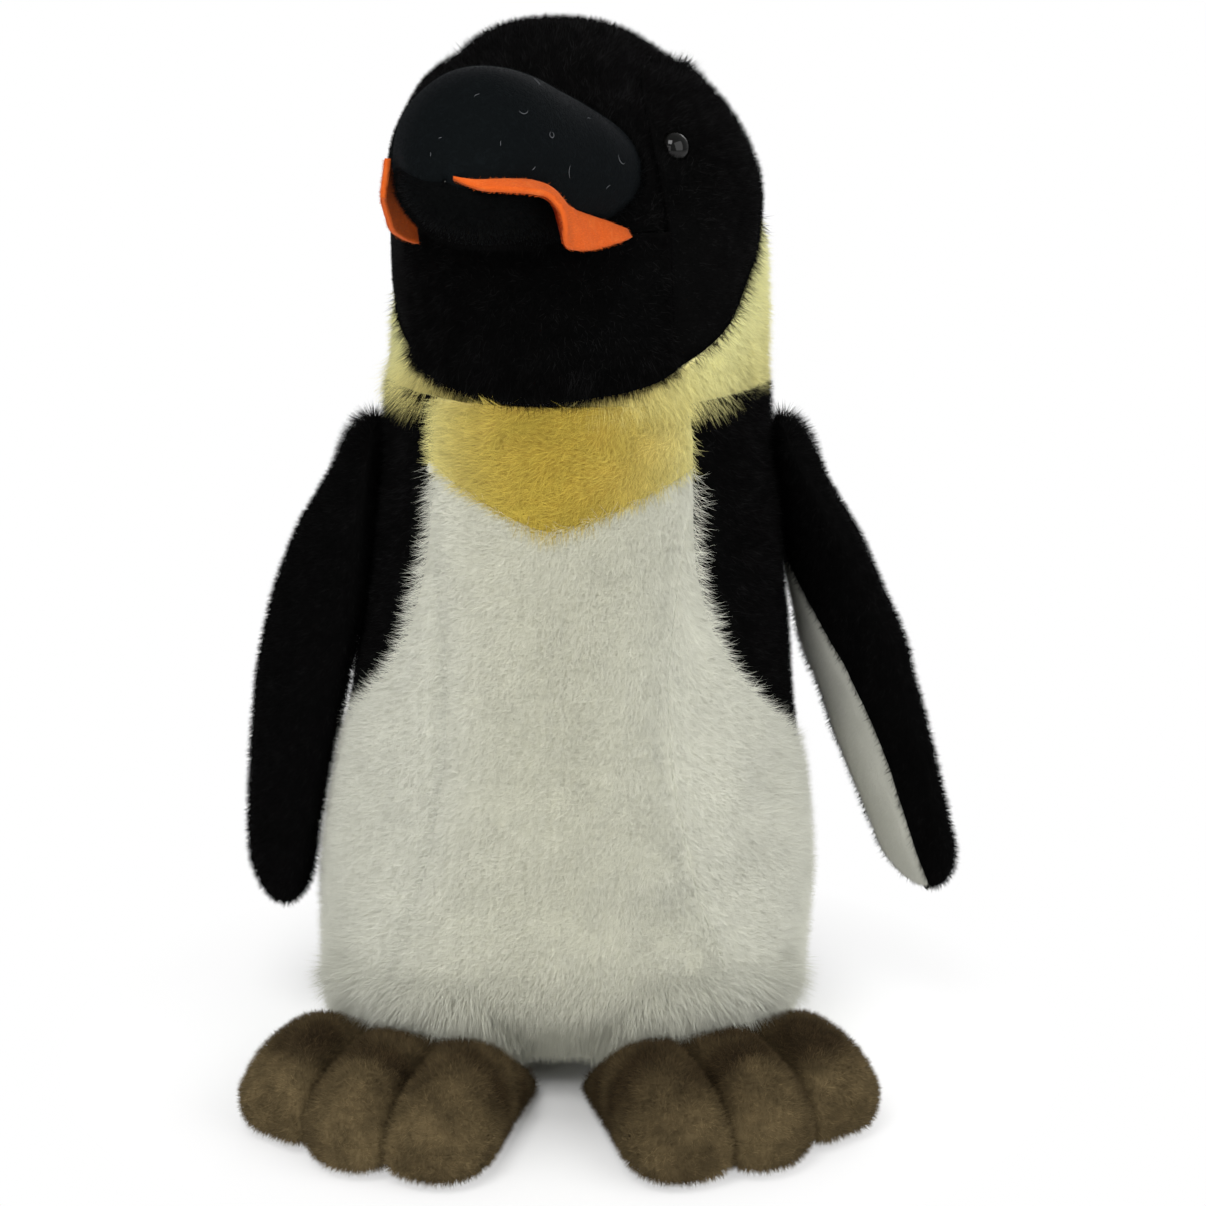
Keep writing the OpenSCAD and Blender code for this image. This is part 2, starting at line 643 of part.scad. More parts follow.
function paddle_step(k) = (1 - cos(180 * k / paddle_rows)) / 2;
twist_share = [[0, 0], [0.4, 1], [1, 1]];
function paddle_point(paddle, t, round, inset) =
    let (half_c = paddle[1] / 2 * curve(paddle[3], t),
         half_t = paddle[2] / 2 * curve(paddle[4], t),
         out = max(half_t - inset, 0.3 * half_t) * ends(t) * cos(round),
         along = paddle[5] * t * t + (half_c - inset) * ends(t) * sin(round),
         twist = paddle[7] * curve(twist_share, t))
    [paddle[6] * sin(180 * t) + out * cos(twist) - along * sin(twist),
     out * sin(twist) + along * cos(twist),
     root_half(paddle) - inset - t * (paddle[0] - 2 * inset)];
function root_half(paddle) = paddle[2] * paddle[4][0][1] / 2;
function paddle_grid(paddle, edges, cols, inset) =
    [for (k = [0 : paddle_rows])
        let (t = paddle_step(k), edge = edges(t))
        [for (c = [0 : cols]) paddle_point(paddle, t, mix(edge[0], edge[1], c / cols), inset)]];
function paddle_rings(paddle, cols, inset) =
    [for (k = [1 : paddle_rows - 1])
        [for (c = [0 : cols - 1]) paddle_point(paddle, paddle_step(k), 360 * c / cols, inset)]];
paddle_core_cols = 12;
module paddle_cover(paddle, edges, cols, inset)
    fabric(paddle_grid(paddle, edges, cols, 0), paddle_grid(paddle, edges, cols, inset), true);
module paddle_filling(paddle, inset)
    filling(paddle_rings(paddle, paddle_core_cols, inset),
            paddle_point(paddle, 0, 0, inset), paddle_point(paddle, 1, 0, inset), true);

// The flippers hang from the shoulders, just clear of the trunk
// The lining is a leaf on the rear half of the inner face, and the black face wraps round to meet it
lining_edge = 118;
lining_wide = [[0, 12], [0.18, 18], [0.4, 60], [0.6, 78], [0.85, 84], [1, 84]];
lining_edges = function (t) [lining_edge, lining_edge + curve(lining_wide, t)];
outer_edges = function (t) [lining_edge + curve(lining_wide, t) - 360, lining_edge];
outer_cols = 14;
lining_cols = 5;
tail_cols = 8;
shoulder_z = neck_z - shoulder_drop;
function shoulder(s) =
    trunk_point(shoulder_z, 0, 90 * s) + [s * (root_thick / 2 + shoulder_gap), 0, 0];
module at_shoulder(side) {
    s = sign_of(side);
    spread = side == "left" ? left_spread : right_spread;
    translate(shoulder(s))
        rotate([0, -s * spread, 0])
            mirror([s < 0 ? 1 : 0, 0, 0])
                children();
}
module flipper_outer(side)
    color(BLACK) at_shoulder(side) paddle_cover(flipper(side), outer_edges, outer_cols, lining_t);
module flipper_lining(side)
    color(WHITE) at_shoulder(side) paddle_cover(flipper(side), lining_edges, lining_cols, lining_t);
module flipper_stuffing(side)
    color(FIBRE) at_shoulder(side) paddle_filling(flipper(side), lining_t + fill_gap);

// The tail points back and down from the back seam
module at_tail()
    translate(trunk_point(tail_z, 0, 180) + [0, root_half(tail) + tail_gap, 0])
        rotate([90 - tail_slant, 0, 0])
            rotate([0, 0, 90])
                children();
module tail_top()
    color(BLACK) at_tail() paddle_cover(tail, function (t) [90, 270], tail_cols, lining_t);
module tail_underside()
    color(BLACK) at_tail() paddle_cover(tail, function (t) [-90, 90], tail_cols, lining_t);
module tail_stuffing()
    color(FIBRE) at_tail() paddle_filling(tail, lining_t + fill_gap / 2);

// Feet: three toes in a fan, drawn apart by sewn channels, on a flat sole.
// across runs from -1 at the inner edge to 1 at the outer one, and along from 0 at the heel to 1 at the toes.
toe_count = 3;
toe_reach = [[-0.67, inner_toe], [0, middle_toe], [0.67, outer_toe]];
toe_notch = 6;
toe_corner = 14;
channel_from = 0.2;
channel_deep = 0.62;
tip_from = 0.7;
function toe_of(j) = min(floor(j / toe_steps), toe_count - 1);
function toe_swing(j) = 180 * (j - toe_of(j) * toe_steps) / toe_steps - 90;
function foot_across(j) = (2 * toe_of(j) + 1 + sin(toe_swing(j))) / toe_count - 1;
foot_cols = toe_count * toe_steps;
// A column's height share: a toe is round across, and the channel between two toes goes part of the way down
function toe_round(j, along) =
    let (channel = channel_deep * max(0, min(1, (along - channel_from) / 0.4)),
         edge = j == 0 || j == foot_cols,
         side = edge || j % toe_steps != 0 ? cos(toe_swing(j)) : 0,
         outer = j < toe_steps / 2 || j > foot_cols - toe_steps / 2)
    outer ? side : 1 - channel * (1 - side);
foot_along = concat([for (k = [0 : foot_rows]) tip_from * k / foot_rows],
                    [for (k = [1 : tip_rows]) mix(tip_from, 1, sin(90 * k / tip_rows))]);
function tip_height(along) =
    along <= tip_from ? 1 : sqrt(max(0, 1 - pow((along - tip_from) / (1 - tip_from), 2)));
function foot_height(along) =
    curve([[0, heel_h], [0.15, 1.45 * heel_h], [0.35, 0.88 * toe_h], [0.62, toe_h], [1, 0.85 * toe_h]], along);
function foot_plan(j, along, inset) =
    let (across = foot_across(j),
         notch = abs(across) > 0.7 ? toe_corner : toe_notch,
         tip = curve(toe_reach, across) - notch * (1 - cos(toe_swing(j))) - inset)
    [across * (mix(heel_w, toes_w, along) / 2 - inset), -mix(inset, tip, along)];
function seam_at(along) = curve([[0, heel_h / 2], [0.35, foot_seam_z], [1, foot_seam_z]], along);
function foot_top(j, along, inset) =
    let (seam = seam_at(along))
    seam + (foot_height(along) - seam - inset) * toe_round(j, along) * tip_height(along);
// The underside is flat but for its rounded rim and the channels
sole_flat = 0.35;
function foot_under(j, along, inset) =
    let (seam = seam_at(along))
    seam - (seam - inset) * pow(toe_round(j, along) * tip_height(along), sole_flat);
function foot_grid(inset, z_at) =
    [for (along = foot_along)
        [for (j = [0 : foot_cols])
            let (p = foot_plan(j, along, inset)) [p[0], p[1], z_at(j, along, inset)]]];
top_side = function (j, along, inset) foot_top(j, along, inset);
under_side = function (j, along, inset) foot_under(j, along, inset);
// The heel seam lies just in front of the trunk's edge, at its own height
foot_angle = asin(foot_x / (base_w / 2));
heel_step = acos(1 - heel_h / edge_round(foot_angle)) / 90;
heel_y = heel_gap - corner_point(heel_step, 0, foot_angle)[1];
module at_ankle(side) {
    s = sign_of(side);
    translate([s * foot_x, -heel_y, 0])
        rotate([0, 0, s * (side == "left" ? left_toe_out : right_toe_out)])
            mirror([s < 0 ? 1 : 0, 0, 0])
                children();
}
module foot_upper(side)
    color(OLIVE) at_ankle(side) fabric(foot_grid(0, top_side), foot_grid(sole_t, top_side));
module foot_sole(side)
    color(OLIVE) at_ankle(side) fabric(foot_grid(sole_t, under_side), foot_grid(0, under_side));
module foot_stuffing(side) {
    inset = sole_t + 1.5 * fill_gap;
    rim = fill_gap / 5;
    above = function (j, along, inset) foot_top(j, along, inset) + rim;
    below = function (j, along, inset) foot_under(j, along, inset) - rim;
    color(FIBRE) at_ankle(side) fabric(foot_grid(inset, above), foot_grid(inset, below));
}

belly_panel();
bib_panel();
base_panel();
trunk_stuffing();
chin_panel();
crown_gusset();
head_stuffing();
beak_upper();
beak_lower();
beak_stuffing();
tail_top();
tail_underside();
tail_stuffing();
for (side = SIDES) {
    belly_side(side);
    back_panel(side);
    head_side(side);
    cheek_patch(side);
    beak_stripe(side);
    eye(side);
    eye_washer(side);
    flipper_outer(side);
    flipper_lining(side);
    flipper_stuffing(side);
    foot_upper(side);
    foot_sole(side);
    foot_stuffing(side);
}
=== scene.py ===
"""Looks of a stuffed penguin: sewn plush covers and their pile, velour beak, felt, eyes and filling."""

import itertools
import logging
import math
from collections.abc import Callable, Sequence
from dataclasses import dataclass, field, replace
from enum import Enum

import bpy
import numpy as np
from mathutils import Matrix, Vector

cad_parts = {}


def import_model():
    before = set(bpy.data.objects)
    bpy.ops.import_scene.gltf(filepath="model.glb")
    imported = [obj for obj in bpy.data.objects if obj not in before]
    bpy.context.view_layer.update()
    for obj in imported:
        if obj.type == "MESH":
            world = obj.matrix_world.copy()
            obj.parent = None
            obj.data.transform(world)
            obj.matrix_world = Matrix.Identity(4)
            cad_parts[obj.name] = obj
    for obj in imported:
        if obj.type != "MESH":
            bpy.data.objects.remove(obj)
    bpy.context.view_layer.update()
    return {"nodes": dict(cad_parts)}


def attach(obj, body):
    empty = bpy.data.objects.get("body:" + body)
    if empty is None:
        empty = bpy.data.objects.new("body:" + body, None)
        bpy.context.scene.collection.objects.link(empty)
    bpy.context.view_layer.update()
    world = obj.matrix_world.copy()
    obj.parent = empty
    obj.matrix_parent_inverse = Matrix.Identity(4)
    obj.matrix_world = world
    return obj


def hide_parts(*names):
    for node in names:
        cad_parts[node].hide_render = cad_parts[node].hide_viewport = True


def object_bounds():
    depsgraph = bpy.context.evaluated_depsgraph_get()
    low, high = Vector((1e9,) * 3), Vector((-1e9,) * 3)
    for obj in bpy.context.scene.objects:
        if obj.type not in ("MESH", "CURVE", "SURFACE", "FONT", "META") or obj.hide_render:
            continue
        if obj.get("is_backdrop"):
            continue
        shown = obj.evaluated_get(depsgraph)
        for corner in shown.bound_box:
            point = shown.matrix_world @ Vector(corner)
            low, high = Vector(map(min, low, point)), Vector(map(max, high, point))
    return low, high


Points = np.ndarray
Place = tuple[float, float, float]
Nap = tuple[float, float]
Colour = tuple[float, float, float, float]
LOG = logging.getLogger("penguin")
MM = 0.001
MOST_FACES = 190000  # in one mesh of strands
TIP_FLOOR = 0.3  # least height of a strand's tip above the floor, in millimetres
ROOT_FLOOR = 0.1  # least height of cloth and of a strand's root
SHORTEST = 0.12  # share of the full length under which a strand is left out
TO_START, TO_END = (0.0, -1.0), (0.0, 1.0)  # naps towards a grid's first row and its last


class Side(Enum):
    """The toy's own left and right: its left is +X."""

    LEFT = 1
    RIGHT = -1

    @property
    def sign(self) -> float:
        """The sign of X on this side."""
        return float(self.value)

    @property
    def word(self) -> str:
        """The side's word in piece names."""
        return self.name.lower()


class Slot(Enum):
    """Material slots of the record."""

    WHITE = "white_plush"
    YELLOW = "yellow_plush"
    BLACK = "black_plush"
    SHORT = "black_short_plush"
    LINING = "lining"
    VELOUR = "beak_velour"
    FELT = "felt"
    FOOT = "foot_plush"
    EYE = "eye"
    WASHER = "washer"
    FIBRE = "fibre"


# Small maths


def mix(a: Points | float, b: Points | float, t: Points | float) -> Points | float:
    """The value a share t of the way from a to b."""
    return a + (b - a) * t


def sind(angle: Points | float) -> Points:
    """Sine of an angle in degrees."""
    return np.sin(np.radians(angle))


def cosd(angle: Points | float) -> Points:
    """Cosine of an angle in degrees."""
    return np.cos(np.radians(angle))


def unit(v: Points) -> Points:
    """Vectors scaled to length 1."""
    return v / np.maximum(np.linalg.norm(v, axis=-1, keepdims=True), 1e-9)


def dot(a: Points, b: Points) -> Points:
    """Dot products along the last axis, kept as a column."""
    return np.sum(a * b, axis=-1, keepdims=True)


def ramp(x: Points, low: float, high: float) -> Points:
    """A smooth step from 0 at low to 1 at high."""
    t = np.clip((x - low) / (high - low), 0, 1)
    return t * t * (3 - 2 * t)


def rounded_power(v: Points, n: float) -> Points:
    """A sine or cosine drawn towards a fuller oval of power n."""
    return np.sign(v) * np.abs(v) ** (2 / n)


def bell(away: Points, reach: float) -> Points:
    """A soft bump of height 1 that falls away over a reach."""
    return np.exp(-((away / reach) ** 2))


def full_turn(count: int) -> Points:
    """Angles evenly round a full turn, in degrees."""
    return np.linspace(0, 360, count + 1)[:-1]


def curve(points: Sequence[tuple[float, float]], at: Points | float) -> Points:
    """A smooth curve through points, held level past its ends.

    Args:
        points: x and y of each point, with x rising.
        at: where the curve is read.

    Returns:
        The curve's values, shaped as at.
    """
    p = np.asarray(points, float)
    n = np.arange(len(p))
    low, high = np.maximum(n - 1, 0), np.minimum(n + 1, len(p) - 1)
    slope = (p[high, 1] - p[low, 1]) / (p[high, 0] - p[low, 0])
    x = np.clip(at, p[0, 0], p[-1, 0])
    i = np.clip(np.searchsorted(p[:, 0], x, side="right") - 1, 0, len(p) - 2)
    w = p[i + 1, 0] - p[i, 0]
    t = (x - p[i, 0]) / w
    start = p[i, 1] * (2 * t**3 - 3 * t**2 + 1) + slope[i] * w * (t**3 - 2 * t**2 + t)
    end = p[i + 1, 1] * (3 * t**2 - 2 * t**3) + slope[i + 1] * w * (t**3 - t**2)
    return start + end


def stacked(x: Points, y: Points, z: Points) -> Points:
    """Points from their coordinates, broadcast together."""
    return np.stack(np.broadcast_arrays(x, y, z), axis=-1).astype(float)


def placed(points: Points, matrix: Matrix) -> Points:
    """Points moved by a matrix in millimetres."""
    m = np.array(matrix)
    return points @ m[:3, :3].T + m[:3, 3]


def lattice(cells: Points, seed: int) -> Points:
    """Repeatable values from 0 to 1 at whole-number cells.

    Args:
        cells: cell numbers, with x, y and z on the last axis.
        seed: picks one set of values.

    Returns:
        One value for each cell.
    """
    c = cells.astype(np.int64).astype(np.uint64)
    h = c[..., 0] * np.uint64(73856093) ^ c[..., 1] * np.uint64(19349663)
    h = h ^ c[..., 2] * np.uint64(83492791) ^ np.uint64(seed * 2654435761 % 2**32)
    h &= np.uint64(0xFFFFFFFF)
    for shift, factor in ((15, 2246822519), (13, 3266489917)):
        h = ((h ^ (h >> np.uint64(shift))) * np.uint64(factor)) & np.uint64(0xFFFFFFFF)
    return ((h ^ (h >> np.uint64(16))) & np.uint64(0xFFFFFF)) / float(0xFFFFFF)


def noise(points: Points, size: float, seed: int) -> Points:
    """Smooth noise from -1 to 1 through space.

    Args:
        points: places, with x, y and z on the last axis.
        size: size of one lump, in the points' unit.
        seed: picks one set of lumps.

    Returns:
        One value for each place.
    """
    scaled = points / size
    cell = np.floor(scaled)
    f = scaled - cell
    f = f * f * (3 - 2 * f)
    total = np.zeros(points.shape[:-1])
    for corner in itertools.product((0, 1), repeat=3):
        share = np.prod(np.where(np.array(corner) == 1, f, 1 - f), axis=-1)
        total += share * lattice(cell + np.array(corner), seed)
    return 2 * total - 1


def srgb(red: float, green: float, blue: float) -> Colour:
    """A colour as it looks on screen, 0 to 255, as Blender's linear colour."""
    parts = [v / 255 for v in (red, green, blue)]
    linear = [p / 12.92 if p <= 0.04045 else ((p + 0.055) / 1.055) ** 2.4 for p in parts]
    return (linear[0], linear[1], linear[2], 1.0)


# Meshes


def make_mesh(name: str, points: Points, faces: Sequence[Points]) -> bpy.types.Mesh:
    """A smooth-shaded mesh.

    Args:
        name: the mesh's name.
        points: its points in millimetres, one row each.
        faces: arrays of point numbers, one array for each number of corners.

    Returns:
        The mesh, in metres.
    """
    mesh = bpy.data.meshes.new(name)
    corners = np.concatenate([f.ravel() for f in faces]).astype(np.int32)
    sizes = np.concatenate([np.full(len(f), f.shape[1]) for f in faces])
    starts = np.concatenate([[0], np.cumsum(sizes)[:-1]]).astype(np.int32)
    mesh.vertices.add(len(points))
    mesh.vertices.foreach_set("co", (points * MM).astype(np.float32).ravel())
    mesh.loops.add(len(corners))
    mesh.loops.foreach_set("vertex_index", corners)
    mesh.polygons.add(len(sizes))
    mesh.polygons.foreach_set("loop_start", starts)
    mesh.update(calc_edges=True)
    mesh.polygons.foreach_set("use_smooth", np.ones(len(sizes), bool))
    return mesh


def note(mesh: bpy.types.Mesh, name: str, values: Points) -> None:
    """Keeps one value for each point on a mesh.

    Args:
        mesh: the mesh.
        name: the attribute's name, which materials read.
        values: a value for each point.
    """
    layer = mesh.attributes.new(name, "FLOAT", "POINT")
    layer.data.foreach_set("value", values.astype(np.float32).ravel())


def grid_quads(rows: int, cols: int, first: int = 0) -> Points:
    """Faces of a grid of points, as rows of four point numbers."""
    r, c = np.meshgrid(np.arange(rows - 1), np.arange(cols - 1), indexing="ij")
    a = (first + r * cols + c).ravel()
    return np.stack([a, a + 1, a + cols + 1, a + cols], axis=1)


@dataclass(frozen=True)
class Dent:
    """A soft dent in a panel, in millimetres.

    Attributes:
        place: its middle.
        depth: its depth there.
        reach: how far it spreads.
    """

    place: Place
    depth: float
    reach: float


@dataclass
class Surface:
    """One sewn panel as a grid of points in millimetres.

    Attributes:
        points: rows by columns by 3.
        inside: a point on the panel's inner side.
        tone: how far each point's colour goes to the paler one, 0 to 1.
    """

    points: Points
    inside: Points
    tone: Points | None = None
    along: Points = field(init=False)
    across: Points = field(init=False)
    normal: Points = field(init=False)
    flipped: bool = field(init=False)

    def __post_init__(self) -> None:
        """Works out the grid's directions."""
        self.inside = np.asarray(self.inside, float)
        self.along = unit(np.gradient(self.points, axis=0))
        self.across = unit(np.gradient(self.points, axis=1))
        normal = unit(np.cross(self.across, self.along))
        self.flipped = bool(np.sum(normal * (self.points - self.inside)) < 0)
        self.normal = -normal if self.flipped else normal
        if self.tone is None:
            self.tone = np.zeros(self.points.shape[:2])

    def shifted(self, height: Points) -> "Surface":
        """The panel with each point moved out by a height."""
        return Surface(self.points + self.normal * height[..., None], self.inside, self.tone)

    def reach(self) -> dict[str, Points]:
        """Each point's distance along the cloth from the panel's four edges."""
        u = np.linalg.norm(np.diff(self.points, axis=1), axis=-1)
        v = np.linalg.norm(np.diff(self.points, axis=0), axis=-1)
        left = np.pad(np.cumsum(u, axis=1), ((0, 0), (1, 0)))
        low = np.pad(np.cumsum(v, axis=0), ((1, 0), (0, 0)))
        return {"left": left, "right": left[:, -1:] - left, "low": low, "high": low[-1:] - low}

    def pulled(self, seams: dict[str, float], width: float = 4.5) -> "Surface":
        """The panel drawn in along its seams.

        Args:
            seams: depth of the pull for each of the edges left, right, low and high.
            width: how far the pull reaches into the panel.

        Returns:
            The pulled panel.
        """
        reach = self.reach()
        dip = sum(depth * bell(reach[edge], width) for edge, depth in seams.items())
        return self.shifted(-np.asarray(dip)) if seams else self

    def lumpy(self, height: float, size: float, seed: int) -> "Surface":
        """The panel with the soft lumps of its filling."""
        rise = noise(self.points, size, seed) + 0.4 * noise(self.points, size / 2.3, seed + 7)
        return self.shifted(height * rise)

    def away(self, place: Sequence[float]) -> Points:
        """Each point's distance from a place."""
        return np.linalg.norm(self.points - np.array(place), axis=-1)

    def dented(self, dent: Dent) -> "Surface":
        """The panel pressed in by a dent."""
        return self.shifted(-dent.depth * bell(self.away(dent.place), dent.reach))

    def moved(self, matrix: Matrix) -> "Surface":
        """The panel placed by a matrix in millimetres."""
        return Surface(placed(self.points, matrix), placed(self.inside, matrix), self.tone)

    def shell(self, name: str, cloth: float) -> bpy.types.Mesh:
        """A closed piece of cloth with this panel outside.

        Args:
            name: the mesh's name.
            cloth: thickness of the cloth.

        Returns:
            The mesh, with the values that the plush finishes read.
        """
        rows, cols = self.points.shape[:2]
        n = rows * cols
        inner = self.points - self.normal * cloth
        first, last = np.arange(cols), np.arange(2, rows + 1) * cols - 1
        rim = np.concatenate([first, last, n - 2 - first[:-1], (rows - 2 - np.arange(rows - 2)) * cols])
        after = np.roll(rim, -1)
        walls = np.stack([after, rim, rim + n, after + n], axis=1)
        faces = np.concatenate([grid_quads(rows, cols), grid_quads(rows, cols, n)[:, ::-1], walls])
        points = np.concatenate([self.points.reshape(-1, 3), inner.reshape(-1, 3)])
        mesh = make_mesh(name, points, [faces[:, ::-1] if self.flipped else faces])
        note(mesh, "rise", np.full(2 * n, 0.12))
        note(mesh, "shade", np.full(2 * n, 0.5))
        note(mesh, "tone", np.tile(self.tone.ravel(), 2))
        return mesh


@dataclass(frozen=True)
class Pile:
    """How a plush's strands stand on its backing, in millimetres.

    Attributes:
        length: length of the longest strands.
        width: width of a strand at its root.
        density: strands on a square millimetre.
        lean: degrees from upright towards the nap.
        frizz: random share of a strand's direction.
        clump: how far the tips of a tuft draw together, 0 to 1.
        tuft: size of a tuft.
        stray: how far the nap wanders.
        relief: how far a strand is shaded as a round form of its own.
    """

    length: float
    width: float
    density: float
    lean: float
    frizz: float = 0.16
    clump: float = 0.35
    tuft: float = 3.2
    stray: float = 0.6
    relief: float = 0.3

    def grow(
        self,
        name: str,
        panel: Surface,
        nap: Nap,
        seed: int,
        share: Points | None = None,
        comb: Points | None = None,
    ) -> list[bpy.types.Mesh]:
        """Strands over a panel.

        Args:
            name: start of the meshes' names.
            panel: the panel that carries them.
            nap: their way, across and along the panel's grid.
            seed: picks one set of strands.
            share: share of the full length at each point of the grid.
            comb: a way added to the nap at each point of the grid.

        Returns:
            One mesh, or more where the strands are many.
        """
        rng = np.random.default_rng(seed)
        p = panel.points
        diagonals = (p[1:, 1:] - p[:-1, :-1], p[1:, :-1] - p[:-1, 1:])
        area = 0.5 * np.linalg.norm(np.cross(*diagonals), axis=-1)
        total = np.cumsum(area.ravel())
        count = int(self.density * total[-1])
        pick = (np.arange(count) + rng.random(count)) / count * total[-1]
        row, col = np.divmod(np.minimum(np.searchsorted(total, pick), area.size - 1), p.shape[1] - 1)
        fu, fv = rng.random(count), rng.random(count)

        def at(values: Points) -> Points:
            """Values of the grid at the roots."""
            extra = (1,) * (values.ndim - 2)
            u, v = fu.reshape(-1, *extra), fv.reshape(-1, *extra)
            low = mix(values[row, col], values[row, col + 1], u)
            return mix(low, mix(values[row + 1, col], values[row + 1, col + 1], u), v)

        long = self.length * (1 - 0.4 * rng.random(count) ** 1.5)
        long *= at(np.ones(p.shape[:2]) if share is None else share)
        root, up, tone = at(p), unit(at(panel.normal)), at(panel.tone)
        flow = at(panel.across * nap[0] + panel.along * nap[1] + (0 if comb is None else comb))
        wander = np.stack([noise(root, 2.6 * self.tuft, seed % 97 + k) for k in range(3)], axis=-1)
        flow = flow + self.stray * wander
        flow = unit(flow - up * dot(flow, up))
        lean = np.radians(self.lean) * (1 + 0.12 * noise(root, 3 * self.tuft, seed % 89 + 5))
        way = up * np.cos(lean)[:, None] + flow * np.sin(lean)[:, None]
        way = unit(way + self.frizz * rng.normal(size=(count, 3)))
        cell = np.floor(root / self.tuft)
        middle = np.stack([lattice(cell, 11 + k) for k in range(3)], axis=-1)
        pull = (cell + 0.15 + 0.7 * middle) * self.tuft - root
        pull -= up * dot(pull, up)
        tip = root + way * long[:, None] + self.clump * pull * np.minimum(long / self.length, 1)[:, None]
        tip[:, 2] = np.maximum(tip[:, 2], TIP_FLOOR)
        shade = np.clip(0.5 + 0.22 * rng.normal(size=count) + 0.25 * noise(root, self.tuft, 31), 0, 1)
        kept = np.flatnonzero(long > SHORTEST * self.length)
        made = []
        pieces = max(1, math.ceil(len(kept) * 3 / MOST_FACES))
        for k, some in enumerate(np.array_split(kept, pieces)):
            label = f"{name}_{k + 1}" if pieces > 1 else name
            turn = 360 * rng.random(len(some))
            made.append(self.strands(label, root[some], tip[some], up[some], shade[some], tone[some], turn))
        return made

    def strands(
        self, name: str, root: Points, tip: Points, up: Points, shade: Points, tone: Points, turn: Points
    ) -> bpy.types.Mesh:
        """Three-sided tapered strands as one mesh, with their roots in the cloth.

        Args:
            name: the mesh's name.
            root: where each strand leaves the backing.
            tip: where it ends.
            up: the backing's normal there.
            shade: each strand's own lightness, 0 to 1.
            tone: how far its colour goes to the paler one.
            turn: its turn about itself, in degrees.

        Returns:
            The mesh, with its rise, shade and tone and a map for baking.
        """
        count = len(root)
        way = unit(tip - root)
        side = unit(np.cross(way, up + np.array([0.013, 0.007, 0.011])))
        other = np.cross(way, side)
        facing = up.copy()
        facing[:, 2] = np.maximum(facing[:, 2], -0.1)
        places, normals, spots = [], [], []
        for k in range(3):
            out = side * cosd(turn + 120 * k)[:, None] + other * sind(turn + 120 * k)[:, None]
            spot = root - up * 0.5 + out * self.width * 0.5
            spot[:, 2] = np.maximum(spot[:, 2], ROOT_FLOOR)
            places.append(spot)
            normals.append(unit(self.relief * out + facing))
            spots.append((0.5 + 0.45 * cosd(90 + 120 * k), 0.5 + 0.45 * sind(90 + 120 * k)))
        places.append(tip)
        normals.append(unit(0.3 * way + facing))
        spots.append((0.5, 0.5))
        per = len(places)
        base = (np.arange(count) * per)[:, None, None]
        faces = (base + np.array([[0, 1, 3], [1, 2, 3], [2, 0, 3]])).reshape(-1, 3)
        mesh = make_mesh(name, np.stack(places, axis=1).reshape(-1, 3), [faces])
        mesh.normals_split_custom_set_from_vertices(np.stack(normals, axis=1).reshape(-1, 3).tolist())
        note(mesh, "rise", np.tile([0.0, 0.0, 0.0, 1.0], count))
        note(mesh, "shade", np.repeat(shade, per))
        note(mesh, "tone", np.repeat(tone, per))
        wide = math.ceil(math.sqrt(count))
        cell = np.stack([np.arange(count) % wide, np.arange(count) // wide], axis=-1)
        spot = ((cell[:, None, :] + np.array(spots)[None]) / wide).reshape(-1, 2)
        corners = np.zeros(len(mesh.loops), np.int32)
        mesh.loops.foreach_get("vertex_index", corners)
        layer = mesh.uv_layers.new(name="OFBake")
        layer.uv.foreach_set("vector", spot[corners].astype(np.float32).ravel())
        return mesh


Fringe = tuple[Pile, Nap, Points]

# Finishes


@dataclass
class Sketch:
    """A node tree while it is drawn.

    Attributes:
        tree: the tree.
    """

    tree: bpy.types.NodeTree

    def add(self, kind: str, settings: dict[str, object] | None = None, **inputs: object) -> bpy.types.Node:
        """A new node.

        Args:
            kind: the node's type.
            settings: its own properties.
            inputs: its sockets by name, each a value or a socket to link.

        Returns:
            The node.
        """
        node = self.tree.nodes.new(kind)
        for name, value in (settings or {}).items():
            setattr(node, name, value)
        for name, value in inputs.items():
            self.feed(node.inputs[name.replace("_", " ")], value)
        return node

    def feed(self, socket: bpy.types.NodeSocket, value: object) -> None:
        """Links a socket, or sets its value."""
        if isinstance(value, bpy.types.NodeSocket):
            self.tree.links.new(value, socket)
        else:
            socket.default_value = value

    def blend(self, share: object, a: object, b: object, kind: str = "MIX") -> bpy.types.NodeSocket:
        """A colour between two colours.

        Args:
            share: how far to go from a to b.
            a, b: the two colours.
            kind: how they mix.

        Returns:
            The mixed colour's socket.
        """
        node = self.tree.nodes.new("ShaderNodeMix")
        node.data_type, node.blend_type = "RGBA", kind
        for socket, value in zip((node.inputs[0], node.inputs[6], node.inputs[7]), (share, a, b)):
            self.feed(socket, value)
        return node.outputs[2]

    def sum(self, kind: str, a: object, b: object = 0.0, c: object = 0.0) -> bpy.types.NodeSocket:
        """One step of arithmetic.

        Args:
            kind: the operation.
            a, b, c: its values.

        Returns:
            The result's socket.
        """
        node = self.tree.nodes.new("ShaderNodeMath")
        node.operation = kind
        for socket, value in zip(node.inputs, (a, b, c)):
            self.feed(socket, value)
        return node.outputs[0]

    def reading(self, name: str) -> bpy.types.NodeSocket:
        """A mesh's own value by its name."""
        return self.add("ShaderNodeAttribute", {"attribute_name": name}).outputs["Fac"]


